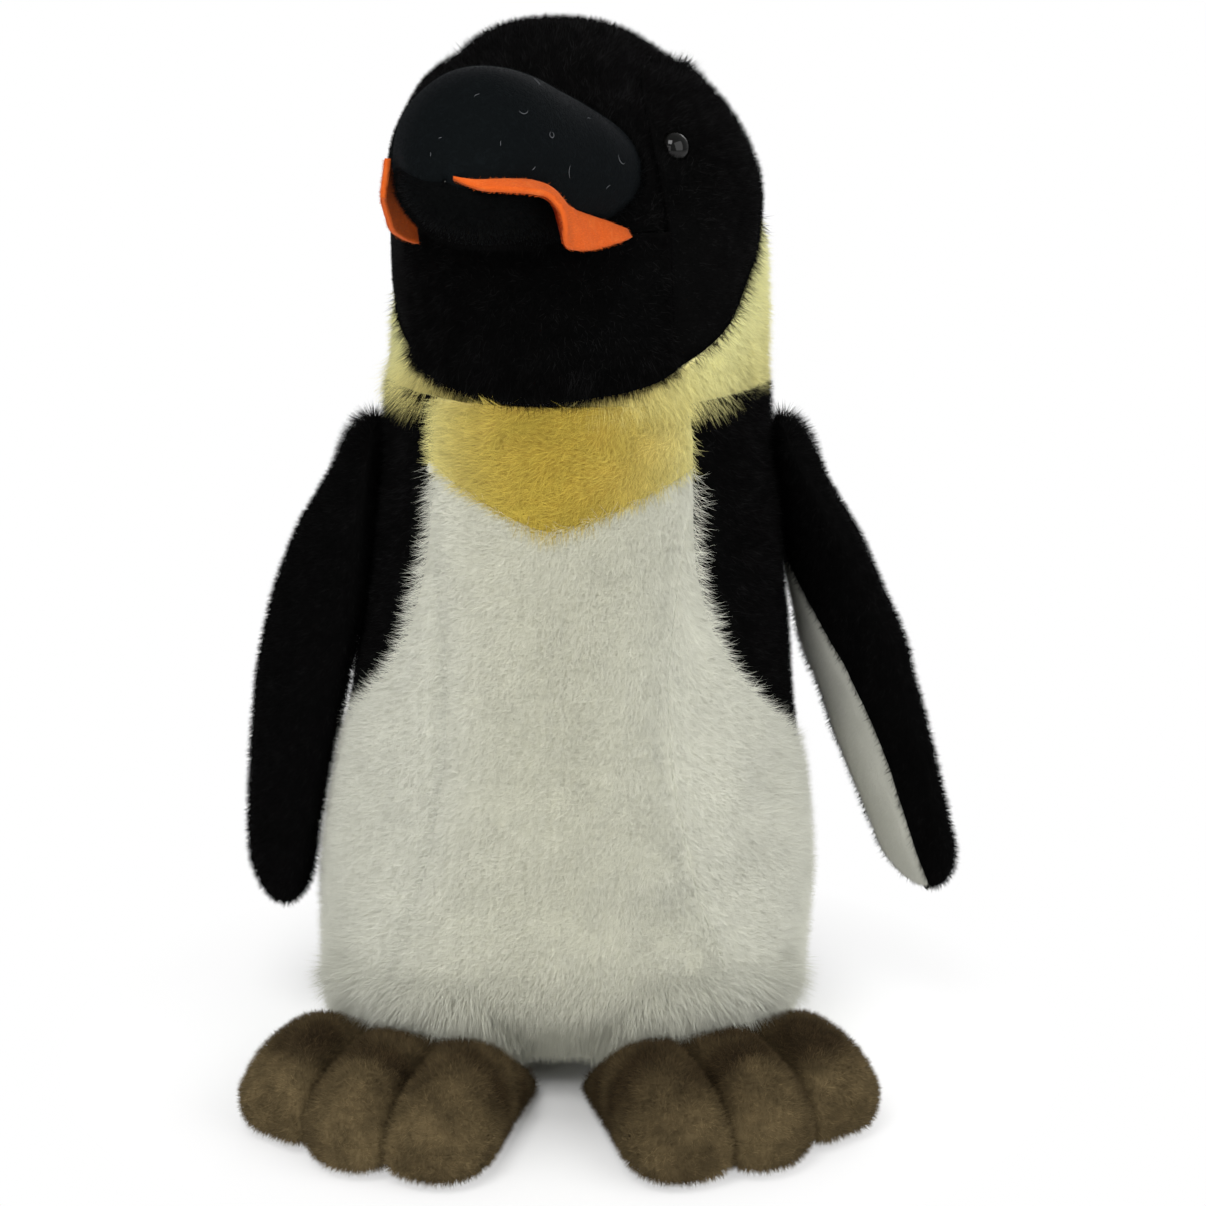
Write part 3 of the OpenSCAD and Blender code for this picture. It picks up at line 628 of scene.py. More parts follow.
def new_group(
    name: str, takes: dict[str, object], gives: dict[str, str]
) -> tuple[Sketch, dict[str, object]]:
    """An empty shader node group with named sockets.

    Args:
        name: the group's name.
        takes: inputs with their first values; a tuple makes a colour.
        gives: outputs with their kinds.

    Returns:
        The group's sketch, and its input sockets and output node by name.
    """
    tree = bpy.data.node_groups.new(name, "ShaderNodeTree")
    for title, value in takes.items():
        kind = "NodeSocketColor" if isinstance(value, tuple) else "NodeSocketFloat"
        tree.interface.new_socket(title, in_out="INPUT", socket_type=kind).default_value = value
    for title, kind in gives.items():
        tree.interface.new_socket(title, in_out="OUTPUT", socket_type=kind)
    sketch = Sketch(tree)
    entry, end = tree.nodes.new("NodeGroupInput"), tree.nodes.new("NodeGroupOutput")
    sockets: dict[str, object] = {title: entry.outputs[title] for title in takes}
    sockets["end"] = end
    return sketch, sockets


def pile_tint() -> bpy.types.NodeTree:
    """The group that colours a strand from its root to its tip, strand by strand and in soft patches, and
    paints sheen on its lightest strands.
    """
    if "Pile tint" in bpy.data.node_groups:
        return bpy.data.node_groups["Pile tint"]
    white = (1.0, 1.0, 1.0, 1.0)
    takes = {"Root": white, "Tip": white, "Pale": white}
    takes |= {"Speckle": 0.3, "Fleck": 0.0, "Patches": 0.1, "Patch size": 0.02}
    s, io = new_group("Pile tint", takes, {"Colour": "NodeSocketColor"})
    rise = s.sum("POWER", s.reading("rise"), 0.75)
    tip = s.blend(s.reading("tone"), io["Tip"], io["Pale"])
    root = s.blend(s.sum("MULTIPLY", s.reading("tone"), 0.8), io["Root"], io["Pale"])
    colour = s.blend(rise, root, tip)
    place = s.add("ShaderNodeTexCoord").outputs["Object"]
    scale = s.sum("DIVIDE", 1.0, io["Patch size"])
    patch = s.add("ShaderNodeTexNoise", Vector=place, Scale=scale, Detail=3.0, Roughness=0.6)
    own = s.sum("MULTIPLY", s.sum("SUBTRACT", s.reading("shade"), 0.5), io["Speckle"])
    middle = s.sum("SUBTRACT", patch.outputs["Fac"], 0.5)
    wide = s.sum("MULTIPLY", middle, s.sum("MULTIPLY", io["Patches"], 2.0))
    # The lightest strands are painted lighter still, as painted sheen.
    fleck = s.sum("MULTIPLY", s.sum("POWER", s.reading("shade"), 6.0), io["Fleck"])
    light = s.sum("ADD", s.sum("ADD", own, wide), s.sum("ADD", fleck, 1.0))
    grey = s.add("ShaderNodeCombineColor", Red=light, Green=light, Blue=light).outputs[0]
    s.feed(io["end"].inputs["Colour"], s.blend(1.0, colour, grey, "MULTIPLY"))
    return s.tree


def cloth_grain() -> bpy.types.NodeTree:
    """The group that gives a cloth its fine fuzz: a height for the bump and a mask of lighter fibres."""
    if "Cloth grain" in bpy.data.node_groups:
        return bpy.data.node_groups["Cloth grain"]
    gives = {"Height": "NodeSocketFloat", "Fibres": "NodeSocketFloat"}
    s, io = new_group("Cloth grain", {"Size": 0.001, "Stretch": 1.0}, gives)
    place = s.add("ShaderNodeTexCoord").outputs["Object"]
    scale = s.sum("DIVIDE", 1.0, io["Size"])
    fuzz = s.add("ShaderNodeTexNoise", Vector=place, Scale=scale, Detail=4.0, Roughness=0.65)
    fine = fuzz.outputs["Fac"]
    turned = s.add("ShaderNodeMapping", Vector=place, Rotation=(0.4, 0.7, 0.3)).outputs[0]
    wide = s.sum("DIVIDE", scale, s.sum("ADD", io["Stretch"], 1.0))
    tangle = s.add("ShaderNodeTexNoise", Vector=turned, Scale=wide, Detail=6.0, Distortion=1.5)
    threads = tangle.outputs["Fac"]
    height = s.sum("ADD", s.sum("MULTIPLY", fine, 0.7), s.sum("MULTIPLY", threads, 0.5))
    s.feed(io["end"].inputs["Height"], height)
    band = s.add("ShaderNodeMapRange", Value=threads, From_Min=0.52, From_Max=0.72).outputs[0]
    s.feed(io["end"].inputs["Fibres"], s.sum("MULTIPLY", band, fine))
    return s.tree


def new_material(name: str, **sockets: object) -> tuple[bpy.types.Material, Sketch, bpy.types.Node]:
    """A material with one Principled shader.

    Args:
        name: the material's name.
        sockets: plain values of the shader's own sockets.

    Returns:
        The material, its sketch and the shader.
    """
    material = bpy.data.materials.new(name)
    material.use_nodes = True
    shader = material.node_tree.nodes["Principled BSDF"]
    for title, value in sockets.items():
        shader.inputs[title.replace("_", " ")].default_value = value
    return material, Sketch(material.node_tree), shader


@dataclass(frozen=True)
class Finish:
    """A look that pieces share.

    Attributes:
        name: the look's name.
        slot: the record's material slot; not used by this script.
    """

    name: str
    slot: Slot

    def make(self) -> bpy.types.Material:
        """A new material with this look."""
        raise NotImplementedError

    def material(self) -> bpy.types.Material:
        """This look's material, made once."""
        return bpy.data.materials.get(self.name) or self.make()


@dataclass(frozen=True)
class PlushFinish(Finish):
    """The colours of a plush.

    Attributes:
        root: colour deep in the pile.
        tip: colour of the tips.
        pale: colour of the tips where the tone runs paler: a paler cloth, and on the feet painted light.
        speckle: how much strands differ.
        patches: how much wide patches differ.
        patch_size: size of a patch, in metres.
        shine: specular level of the fibre.
        fleck: how much lighter the lightest strands are painted, as painted sheen.
    """

    root: Colour
    tip: Colour
    pale: Colour
    speckle: float = 0.3
    patches: float = 0.06
    patch_size: float = 0.02
    shine: float = 0.2
    fleck: float = 0.0

    def make(self) -> bpy.types.Material:
        """A new material of the plush."""
        material, s, shader = new_material(self.name, Roughness=0.85, Specular_IOR_Level=self.shine)
        looks = {"Root": self.root, "Tip": self.tip, "Pale": self.pale, "Speckle": self.speckle}
        looks |= {"Fleck": self.fleck, "Patches": self.patches, "Patch size": self.patch_size}
        tint = s.add("ShaderNodeGroup", {"node_tree": pile_tint()}, **looks)
        s.feed(shader.inputs["Base Color"], tint.outputs["Colour"])
        return material


@dataclass(frozen=True)
class ClothFinish(Finish):
    """The look of a short cloth without strands of its own.

    Attributes:
        colour: the cloth's colour.
        fibres: colour of its lighter fibres.
        strength: how much of them shows.
        grain: size of the grain, in metres.
        depth: depth of the grain.
        stretch: how much longer its threads are than its grain.
        shine: specular level.
        sheen: weight of the soft rim.
        sheen_tint: colour of the soft rim.
    """

    colour: Colour
    fibres: Colour
    strength: float
    grain: float
    depth: float
    stretch: float = 2.0
    shine: float = 0.2
    sheen: float = 0.0
    sheen_tint: Colour = (1.0, 1.0, 1.0, 1.0)

    def make(self) -> bpy.types.Material:
        """A new material of the cloth."""
        sheen = {"Sheen Weight": self.sheen, "Sheen Roughness": 0.45, "Sheen Tint": self.sheen_tint}
        material, s, shader = new_material(self.name, Specular_IOR_Level=self.shine, **sheen)
        group = {"node_tree": cloth_grain()}
        grain = s.add("ShaderNodeGroup", group, Size=self.grain, Stretch=self.stretch)
        share = s.sum("MULTIPLY", grain.outputs["Fibres"], self.strength)
        s.feed(shader.inputs["Base Color"], s.blend(share, self.colour, self.fibres))
        rough = s.sum("MULTIPLY_ADD", grain.outputs["Height"], -0.2, 0.95)
        s.feed(shader.inputs["Roughness"], rough)
        height = grain.outputs["Height"]
        bump = s.add("ShaderNodeBump", Height=height, Distance=self.depth, Strength=0.8)
        s.feed(shader.inputs["Normal"], bump.outputs[0])
        return material


@dataclass(frozen=True)
class MouldedFinish(Finish):
    """The look of a moulded plastic piece.

    Attributes:
        colour: the plastic's colour.
        haze: colour of its fine scuffs.
        roughness: how dull it is between scuffs.
        shine: specular level.
    """

    colour: Colour
    haze: Colour
    roughness: float
    shine: float = 0.5

    def make(self) -> bpy.types.Material:
        """A new material of the plastic."""
        material, s, shader = new_material(self.name, Specular_IOR_Level=self.shine)
        grain = s.add("ShaderNodeGroup", {"node_tree": cloth_grain()}, Size=0.0012, Stretch=4.0)
        s.feed(shader.inputs["Base Color"], s.blend(grain.outputs["Fibres"], self.colour, self.haze))
        rough = s.sum("MULTIPLY_ADD", grain.outputs["Height"], 0.1, self.roughness)
        s.feed(shader.inputs["Roughness"], rough)
        return material


# Plush: name, slot, root, tip, pale, speckle, patches, patch size, shine and sheen fleck, the painted sheen
# of the lightest strands
WHITE = PlushFinish(
    "White plush", Slot.WHITE, srgb(204, 203, 184), srgb(223, 223, 206), srgb(238, 240, 232), 0.2, 0.08, 0.02
)
YELLOW = PlushFinish(
    "Yellow plush", Slot.YELLOW, srgb(164, 130, 30), srgb(210, 186, 64), srgb(251, 250, 184), 0.5, 0.16, 0.008
)
# The black plushes paint sheen on their lightest strands through their last value.
BLACK = PlushFinish(
    "Black plush", Slot.BLACK, srgb(4, 4, 4), srgb(8, 8, 8), srgb(14, 14, 13), 0.8, 0.35, 0.012, 0.03, 6.0
)
SHORT = PlushFinish(
    "Short black plush", Slot.SHORT, srgb(4, 4, 4), srgb(6, 6, 6), srgb(12, 12, 11),
    0.7, 0.25, 0.012, 0.03, 4.0,
)
LINING = PlushFinish(
    "Lining", Slot.LINING, srgb(182, 182, 172), srgb(200, 200, 191), srgb(206, 206, 200), 0.12, 0.06, 0.02
)
FOOT = PlushFinish(
    "Foot plush", Slot.FOOT, srgb(28, 21, 12), srgb(71, 58, 38), srgb(114, 99, 70), 0.7, 0.6, 0.006, 0.08, 0.5
)
FUZZ = PlushFinish(
    "Felt fibre", Slot.FELT, srgb(214, 92, 32), srgb(232, 116, 48), srgb(238, 136, 70), 0.4, 0.1, 0.004
)
VELVET = PlushFinish(
    "Velour pile", Slot.VELOUR, srgb(9, 10, 11), srgb(14, 16, 18), srgb(18, 20, 22), 0.6, 0.2, 0.006, 0.04
)
LINT = PlushFinish("Lint", Slot.VELOUR, srgb(84, 86, 88), srgb(110, 112, 116), srgb(120, 120, 120), 0.5)
# The lower beak's pile takes the darker short black, as painted shade under the beak.
SHADED_BEAK_FUR = replace(SHORT, slot=Slot.VELOUR)
# Cloth: name, slot, colour, fibres, strength, grain, depth, stretch, shine, sheen and its tint
VELOUR = ClothFinish(
    "Beak velour", Slot.VELOUR, srgb(8, 11, 12), srgb(20, 25, 27),
    0.5, 0.0007, 0.0003, 2.0, 0.03, 0.02, srgb(120, 130, 150),
)
# The lower cover is a darker copy of the velour, as painted shade under the beak.
UNDER = replace(VELOUR, name="Beak underside", colour=srgb(4, 5, 5), fibres=srgb(8, 9, 9))
FELT = ClothFinish(
    "Orange felt", Slot.FELT, srgb(203, 88, 29), srgb(222, 120, 54), 0.7, 0.0011, 0.0006, 3.0, 0.08, 0.04
)
BASE = ClothFinish(
    "Base cloth", Slot.WHITE, srgb(205, 204, 192), srgb(225, 224, 214), 0.6, 0.0012, 0.0004, 2.0, 0.1, 0.05
)
FIBRE = ClothFinish(
    "Filling fibre", Slot.FIBRE, srgb(228, 228, 222), srgb(246, 246, 242), 0.8, 0.002, 0.002, 6.0, 0.2, 0.2
)
# Plastic: name, slot, colour, haze, roughness and shine
EYE = MouldedFinish("Eye", Slot.EYE, srgb(4, 4, 3), srgb(8, 7, 6), 0.02, 0.25)
WASHER = MouldedFinish("Washer", Slot.WASHER, srgb(214, 214, 208), srgb(232, 232, 228), 0.45)

# Piles: length, width, density, lean, frizz, clump, tuft, stray and relief
LONG_PILE = Pile(5.6, 0.16, 7.0, 40, 0.45, 0.4, 3.6, 0.55, 0.35)
LONG_FRINGE = Pile(15.0, 0.18, 8.0, 14, 0.26, 0.4, 3.6)
BIB_PILE = Pile(5.8, 0.18, 6.0, 46, 0.38, 0.4, 3.2, 0.9, 0.5)
BIB_FRINGE = Pile(8.0, 0.17, 5.0, 66, 0.25, 0.35, 3.2)
CHEEK_PILE = replace(BIB_PILE, length=4.4, lean=54)
CHEEK_FRINGE = replace(BIB_FRINGE, length=10.0, density=8.0, lean=62)
BLACK_PILE = Pile(3.2, 0.2, 4.8, 28, 0.5, 0.3, 2.6)
BLACK_FRINGE = Pile(4.8, 0.2, 6.0, 56, 0.32, 0.35, 2.6)
CHIN_FRINGE = replace(BLACK_FRINGE, length=8.0, lean=66)
SIDE_FRINGE = replace(BLACK_FRINGE, length=5.4, density=4.0, frizz=0.42)
SHORT_PILE = Pile(2.8, 0.2, 4.4, 34, 0.4, 0.3, 2.2)
LINING_PILE = Pile(1.3, 0.2, 4.5, 45, 0.35, 0.2, 1.6)
FOOT_PILE = Pile(2.8, 0.2, 6.5, 34, 0.45, 0.45, 2.2, 0.9)
FELT_PILE = Pile(0.9, 0.14, 8.0, 55, 0.6, 0.3, 0.9, 1.5)
VELOUR_PILE = Pile(0.7, 0.16, 3.0, 40, 0.4, 0.2, 1.2, 0.8)
UNDER_PILE = Pile(1.8, 0.18, 4.5, 34, 0.5, 0.3, 2.0)


def show(
    mesh: bpy.types.Mesh, finish: Finish, body: str, nodes: Sequence[str] = ()
) -> None:
    """Puts a mesh on its body as a piece of the toy.

    Args:
        mesh: the piece's mesh, in place.
        finish: its look.
        body: the body it moves with.
        nodes: CAD nodes that it stands for.
    """
    piece = bpy.data.objects.new(mesh.name, mesh)
    bpy.context.scene.collection.objects.link(piece)
    mesh.materials.append(finish.material())
    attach(piece, body)
    if nodes:
        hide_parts(*nodes)
    LOG.info("%s on %s: %d faces", piece.name, body, len(mesh.polygons))


@dataclass
class Panel:
    """A plush panel: its cloth and its pile.

    Attributes:
        node: the CAD node that it stands for.
        surface: its outer surface, in the toy's frame.
        finish: the plush's colours.
        pile: the plush's strands.
        nap: the strands' way, across and along the grid.
        body: the body it moves with.
        cloth: thickness of its cloth.
        share: share of the full pile length at each point.
        comb: a way added to the nap at each point.
        fringe: longer strands at an edge, with their way and their share of the full length.
    """

    node: str
    surface: Surface
    finish: PlushFinish
    pile: Pile
    nap: Nap
    body: str
    cloth: float = 3.0
    share: Points | None = None
    comb: Points | None = None
    fringe: Fringe | None = None

    def build(self) -> None:
        """Makes the cloth, its pile and its fringe."""
        seed = sum(ord(c) * (k + 3) for k, c in enumerate(self.node)) % 9973
        skin = self.surface.shell(f"{self.node}_cloth", self.cloth)
        show(skin, self.finish, self.body, [self.node])
        grown = self.pile.grow(f"{self.node}_pile", self.surface, self.nap, seed, self.share, self.comb)
        if self.fringe:
            pile, nap, share = self.fringe
            grown += pile.grow(f"{self.node}_fringe", self.surface, nap, seed + 1, share)
        for mesh in grown:
            show(mesh, self.finish, self.body)


def core_mesh(name: str, rings: Points, low: Points, high: Points, height: float) -> bpy.types.Mesh:
    """A closed lump, such as a filling.

    Args:
        name: the mesh's name.
        rings: rings of points, each running round the form.
        low: the point that closes the first ring.
        high: the point that closes the last ring.
        height: height of its lumps.

    Returns:
        The mesh.
    """
    count, cols = rings.shape[:2]
    middle = rings.mean(axis=(0, 1))
    out = unit(rings - rings.mean(axis=1, keepdims=True))
    rings = rings + out * (height * (noise(rings, 9.0, 3) - 0.6))[..., None]
    start, k = (np.arange(count - 1) * cols)[:, None], np.arange(cols)
    after, end = (k + 1) % cols, count * cols
    walls = np.stack([start + k, start + after, start + cols + after, start + cols + k], axis=-1)
    low_fan = np.stack([after, k, np.full(cols, end)], axis=1)
    high_fan = np.stack([end - cols + k, end - cols + after, np.full(cols, end + 1)], axis=1)
    faces = [walls.reshape(-1, 4), np.concatenate([low_fan, high_fan])]
    points = np.concatenate([rings.reshape(-1, 3), [low], [high]])
    wall = points[faces[0]]
    normal = np.cross(wall[:, 1] - wall[:, 0], wall[:, 3] - wall[:, 0])
    if np.sum(normal * (wall.mean(axis=1) - middle)) < 0:
        faces = [f[:, ::-1] for f in faces]
    return make_mesh(name, points, faces)


@dataclass
class Trunk:
    """The trunk's covers and filling, in millimetres.

    Attributes:
        base_round, front_round: radius of the bottom edge, behind and in front.
        neck_shift: how far the neck lies to the toy's left.
        chest_turn: turn of the panels at the neck, in degrees.
        oval: power of the section's oval.
        bib_side, bib_tip: height of the bib's sides and point as a share of neck_z.
        core_inset: depth of the filling.
        sag: how far the belly hangs out over the feet.
        flank_dent, shoulders: the left flank's press mark, and the dents at the shoulders.
        belly_seams, side_seams: angle of the panels' edges by the share of neck_z.
    """

    neck_z: float = 200
    base_w: float = 136
    base_d: float = 114
    belly_w: float = 138
    belly_d: float = 120
    belly_z: float = 60
    chest_w: float = 125
    chest_d: float = 110
    chest_z: float = 112
    neck_w: float = 104
    neck_d: float = 100
    base_round: float = 14
    front_round: float = 50
    neck_shift: float = 6
    chest_turn: float = 7
    oval: float = 2.25
    bib_side: float = 0.914
    bib_tip: float = 0.828
    core_inset: float = 6.0
    sag: float = 5.5
    flank_dent: Dent = Dent((59.7, -33.5, 88.2), 2.5, 10)
    shoulders: tuple[Dent, Dent] = (Dent((58, 0, 180), 1.4, 16), Dent((-46, 0, 180), 1.4, 16))
    belly_seams: tuple = ((0, 41), (0.16, 39), (0.40, 29), (0.62, 28), (0.914, 40))
    side_seams: tuple = (
        (0, 116), (0.16, 114), (0.31, 107), (0.45, 92), (0.53, 70),
        (0.6, 53), (0.68, 43), (0.78, 39), (0.914, 40),
    )

    def point(self, z: Points | float, shrink: Points | float, angle: Points | float) -> Points:
        """Points round the trunk.

        Args:
            z: height above the floor.
            shrink: depth inside the outer surface.
            angle: angle from the front, towards the toy's left.

        Returns:
            The points.
        """
        rows = (self.base_round, self.belly_z, self.chest_z, self.neck_z)
        wide = curve(list(zip(rows, (self.base_w, self.belly_w, self.chest_w, self.neck_w))), z)
        deep = curve(list(zip(rows, (self.base_d, self.belly_d, self.chest_d, self.neck_d))), z)
        x = self.neck_shift * z / self.neck_z + (wide / 2 - shrink) * rounded_power(sind(angle), self.oval)
        y = -(deep / 2 - shrink) * rounded_power(cosd(angle), self.oval)
        return stacked(x, y, z)

    def edge_round(self, angle: Points) -> Points:
        """Radius of the bottom edge at an angle."""
        return mix(self.base_round, self.front_round, np.maximum(cosd(angle), 0) ** 2)

    def corner(self, step: Points, inset: float, angle: Points) -> Points:
        """Points on the rounded bottom edge, from 0 at the base to 1 at the side."""
        full = self.edge_round(angle)
        r = full - inset
        return self.point(full - r * cosd(90 * step), full - r * sind(90 * step), angle)

    def turn(self, z: Points | float) -> Points | float:
        """How far the panels are turned at a height."""
        return -self.chest_turn * z / self.neck_z

    def belly_seam(self, z: Points) -> Points:
        """Angle of the belly panel's edges at a height."""
        return curve(self.belly_seams, z / self.neck_z)

    def back_seam(self, z: Points) -> Points:
        """Angle of the back panels' front edges at a height."""
        low = curve(self.side_seams, z / self.neck_z)
        return np.where(z < self.bib_side * self.neck_z, low, self.belly_seam(z))

    def bib_edge(self, share: Points) -> Points:
        """Height of the bib's lower edge, with its soft point in the middle."""
        tip, side = self.bib_tip * self.neck_z, self.bib_side * self.neck_z
        bend = np.sqrt((2 * share - 1) ** 2 + 0.012) - 0.05
        return mix(tip, side, np.clip(bend, 0, 1))

    def grid(
        self,
        cols: int,
        angle_at: Callable[[Points, Points], Points],
        low_at: Callable[[Points], Points] | None,
        high_at: Callable[[Points], Points],
        rows: int = 90,
    ) -> Points:
        """A panel's grid of points.

        Args:
            cols: number of columns.
            angle_at: angle from the front at a height and a share across.
            low_at: height of its lower edge, or None to start under the base.
            high_at: height of its upper edge.
            rows: number of rows above the bottom edge.

        Returns:
            The grid, from its lower edge up.
        """
        share = np.linspace(0, 1, cols)[None, :]
        foot = angle_at(np.zeros_like(share), share)
        low = self.edge_round(foot) if low_at is None else low_at(share)
        z = mix(low, high_at(share), np.linspace(0, 1, rows)[:, None])
        side = self.point(z, 0, angle_at(z, share))
        if low_at is not None:
            return side
        step = np.linspace(0, 1, 16)[:-1, None]
        return np.concatenate([self.corner(step, 0, foot), side])

    def surface(self, points: Points, seams: dict[str, float], tone: Points | None = None) -> Surface:
        """A panel's surface with its seams, lumps and dents, and the belly's sag over the feet.

        Args:
            points: the panel's grid of points.
            seams: depth of the pull for each edge.
            tone: how far each point's colour goes to the paler one.

        Returns:
            The surface.
        """
        height = points[..., 2:].mean()
        surface = Surface(points, np.array([self.neck_shift * height / self.neck_z, 0, height]), tone)
        surface = surface.pulled(seams).lumpy(height=1.1, size=26, seed=5)
        for dent in (self.flank_dent, *self.shoulders):
            surface = surface.dented(dent)
        _, y, z = np.moveaxis(surface.points, -1, 0)
        over = ramp(z, 18, 36) * (1 - ramp(z, 36, 66)) * (1 - ramp(y, -46, -24))
        level = unit(surface.normal * np.array([1.0, 1.0, 0.0]))
        moved = surface.points + level * (self.sag * over)[..., None]
        moved[..., 2] = np.maximum(moved[..., 2], ROOT_FLOOR)
        return Surface(moved, surface.inside, surface.tone)

    def lengths(self, surface: Surface, fringe: float = 0.0) -> Points:
        """Share of the pile's length over a panel: shorter under the base, longer at the side's edge."""
        low = 0.25 + 0.75 * ramp(surface.points[..., 2], 3, 22)
        return low * (1 + fringe * (1 - ramp(surface.reach()["right"], 1, 7)))

    def hem(self, surface: Surface) -> Fringe:
        """The long strands that hang over the feet.

        Args:
            surface: the panel that carries them.

        Returns:
            Their pile, their way and their share of the full length: they leave the cloth just above the
            feet, and lower between them.
        """
        x, y, z = np.moveaxis(surface.points, -1, 0)
        start = mix(8, 27, ramp(np.abs(x), 10, 26))
        band = ramp(z, start, start + 3) * (1 - ramp(z, start + 8, start + 16))
        share = band * (1 - ramp(y, -34, -16)) * mix(0.45, 1, ramp(np.abs(x), 6, 20))
        return LONG_FRINGE, TO_START, share

    def level(self, height: float) -> Callable[[Points], Points]:
        """A level edge at a height, as a panel's grid takes it."""
        return lambda share: np.full_like(share, height)

    def front_angle(self, z: Points, share: Points) -> Points:
        """Angles across the belly panel and the bib."""
        return self.turn(z) + self.belly_seam(z) * (2 * share - 1)

    def build(self) -> None:
        """Makes the panels, the base and the filling."""
        self.build_belly()
        self.build_bib()
        for side in Side:
            self.build_flank(side)
            self.build_back(side)
        self.build_base()
        self.build_filling()

    def build_belly(self) -> None:
        """Makes the white panel in front."""
        points = self.grid(60, self.front_angle, None, self.bib_edge)
        sides = 0.3 * np.linspace(-1, 1, 60)[None, :] ** 2 * np.ones((len(points), 1))
        front = self.surface(points, {"left": 1.5, "right": 0.8, "high": 0.5}, sides)
        long, over, nap = self.lengths(front), self.hem(front), (-0.75, -0.65)
        Panel("belly_panel", front, WHITE, LONG_PILE, nap, "trunk", share=long, fringe=over).build()

    def build_bib(self) -> None:
        """Makes the yellow breast panel, with a fringe at its point."""
        points = self.grid(60, self.front_angle, self.bib_edge, self.level(self.neck_z), 30)
        share = np.linspace(-1, 1, 60)[None, :] * np.ones((30, 1))
        tone = 0.08 + 0.62 * np.abs(share) ** 2.5
        bib = self.surface(points, {"left": 0.8, "right": 0.8, "low": 0.5}, tone)
        over = (BIB_FRINGE, (-0.05, -1.0), (1 - ramp(bib.reach()["low"], 2, 8)) * bell(share, 0.42))
        Panel("bib_panel", bib, YELLOW, BIB_PILE, (-0.9, -0.4), "trunk", fringe=over).build()

    def build_flank(self, side: Side) -> None:
        """Makes the white panel on one side.

        Args:
            side: the toy's side.
        """

        def angle(z: Points, share: Points) -> Points:
            """Angles across the panel."""
            rear = curve(self.side_seams, z / self.neck_z)
            return self.turn(z) + side.sign * mix(self.belly_seam(z), rear, share)

        points = self.grid(40, angle, None, self.level(self.bib_side * self.neck_z))
        seams = {"left": 0.8 if side is Side.LEFT else 1.5, "right": 0.9}
        flank = self.surface(points, seams, np.full(points.shape[:2], 0.3))
        long, over, nap = self.lengths(flank, 0.25), self.hem(flank), (0.7, -0.6)
        node = f"belly_side_{side.word}"
        Panel(node, flank, WHITE, LONG_PILE, nap, "trunk", share=long, fringe=over).build()

    def build_back(self, side: Side) -> None:
        """Makes the black panel behind one side, with longer pile round the shoulder.

        Args:
            side: the toy's side.
        """

        def angle(z: Points, share: Points) -> Points:
            """Angles across the panel."""
            return self.turn(z) + side.sign * mix(self.back_seam(z), 180, share)

        points = self.grid(60, angle, None, self.level(self.neck_z))
        rear = self.surface(points, {"left": 0.9, "right": 1.6})
        shoulder = self.shoulders[0 if side is Side.LEFT else 1]
        long = self.lengths(rear) * (1 + 0.7 * bell(rear.away(shoulder.place), 22))
        node = f"back_panel_{side.word}"
        Panel(node, rear, BLACK, BLACK_PILE, (0.1, -1.0), "trunk", share=long).build()

    def build_base(self) -> None:
        """Makes the flat cloth that closes the trunk underneath."""
        angle = full_turn(72)
        rim = self.point(np.zeros_like(angle), self.edge_round(angle) + 0.6, angle)
        middle, thick = rim.mean(axis=0), np.array([0, 0, 4.0])
        reach = np.concatenate([np.linspace(0.04, 0.96, 16), [0.985, 1.0]])
        under = middle + (rim - middle)[None] * reach[:, None, None]
        over = under[::-1] + thick
        under[-1, :, 2], over[0, :, 2] = 0.8, 3.2
        mesh = core_mesh("base_panel_cloth", np.concatenate([under, over]), middle, middle + thick, 0.0)
        show(mesh, BASE, "trunk", ["base_panel"])

    def build_filling(self) -> None:
        """Makes the trunk's fibre filling."""
        angle = full_turn(72)[None, :]
        low = self.corner(np.linspace(0, 1, 8)[:-1, None], self.core_inset, angle)
        z = mix(self.edge_round(angle), self.neck_z, np.linspace(0, 1, 30)[:, None])
        rings = np.concatenate([low, self.point(z, self.core_inset, angle)])
        ends = np.array([[0, 0, self.core_inset], [self.neck_shift, 0, self.neck_z]])
        mesh = core_mesh("trunk_stuffing_fibre", rings, ends[0], ends[1], 1.2)
        show(mesh, FIBRE, "trunk", ["trunk_stuffing"])


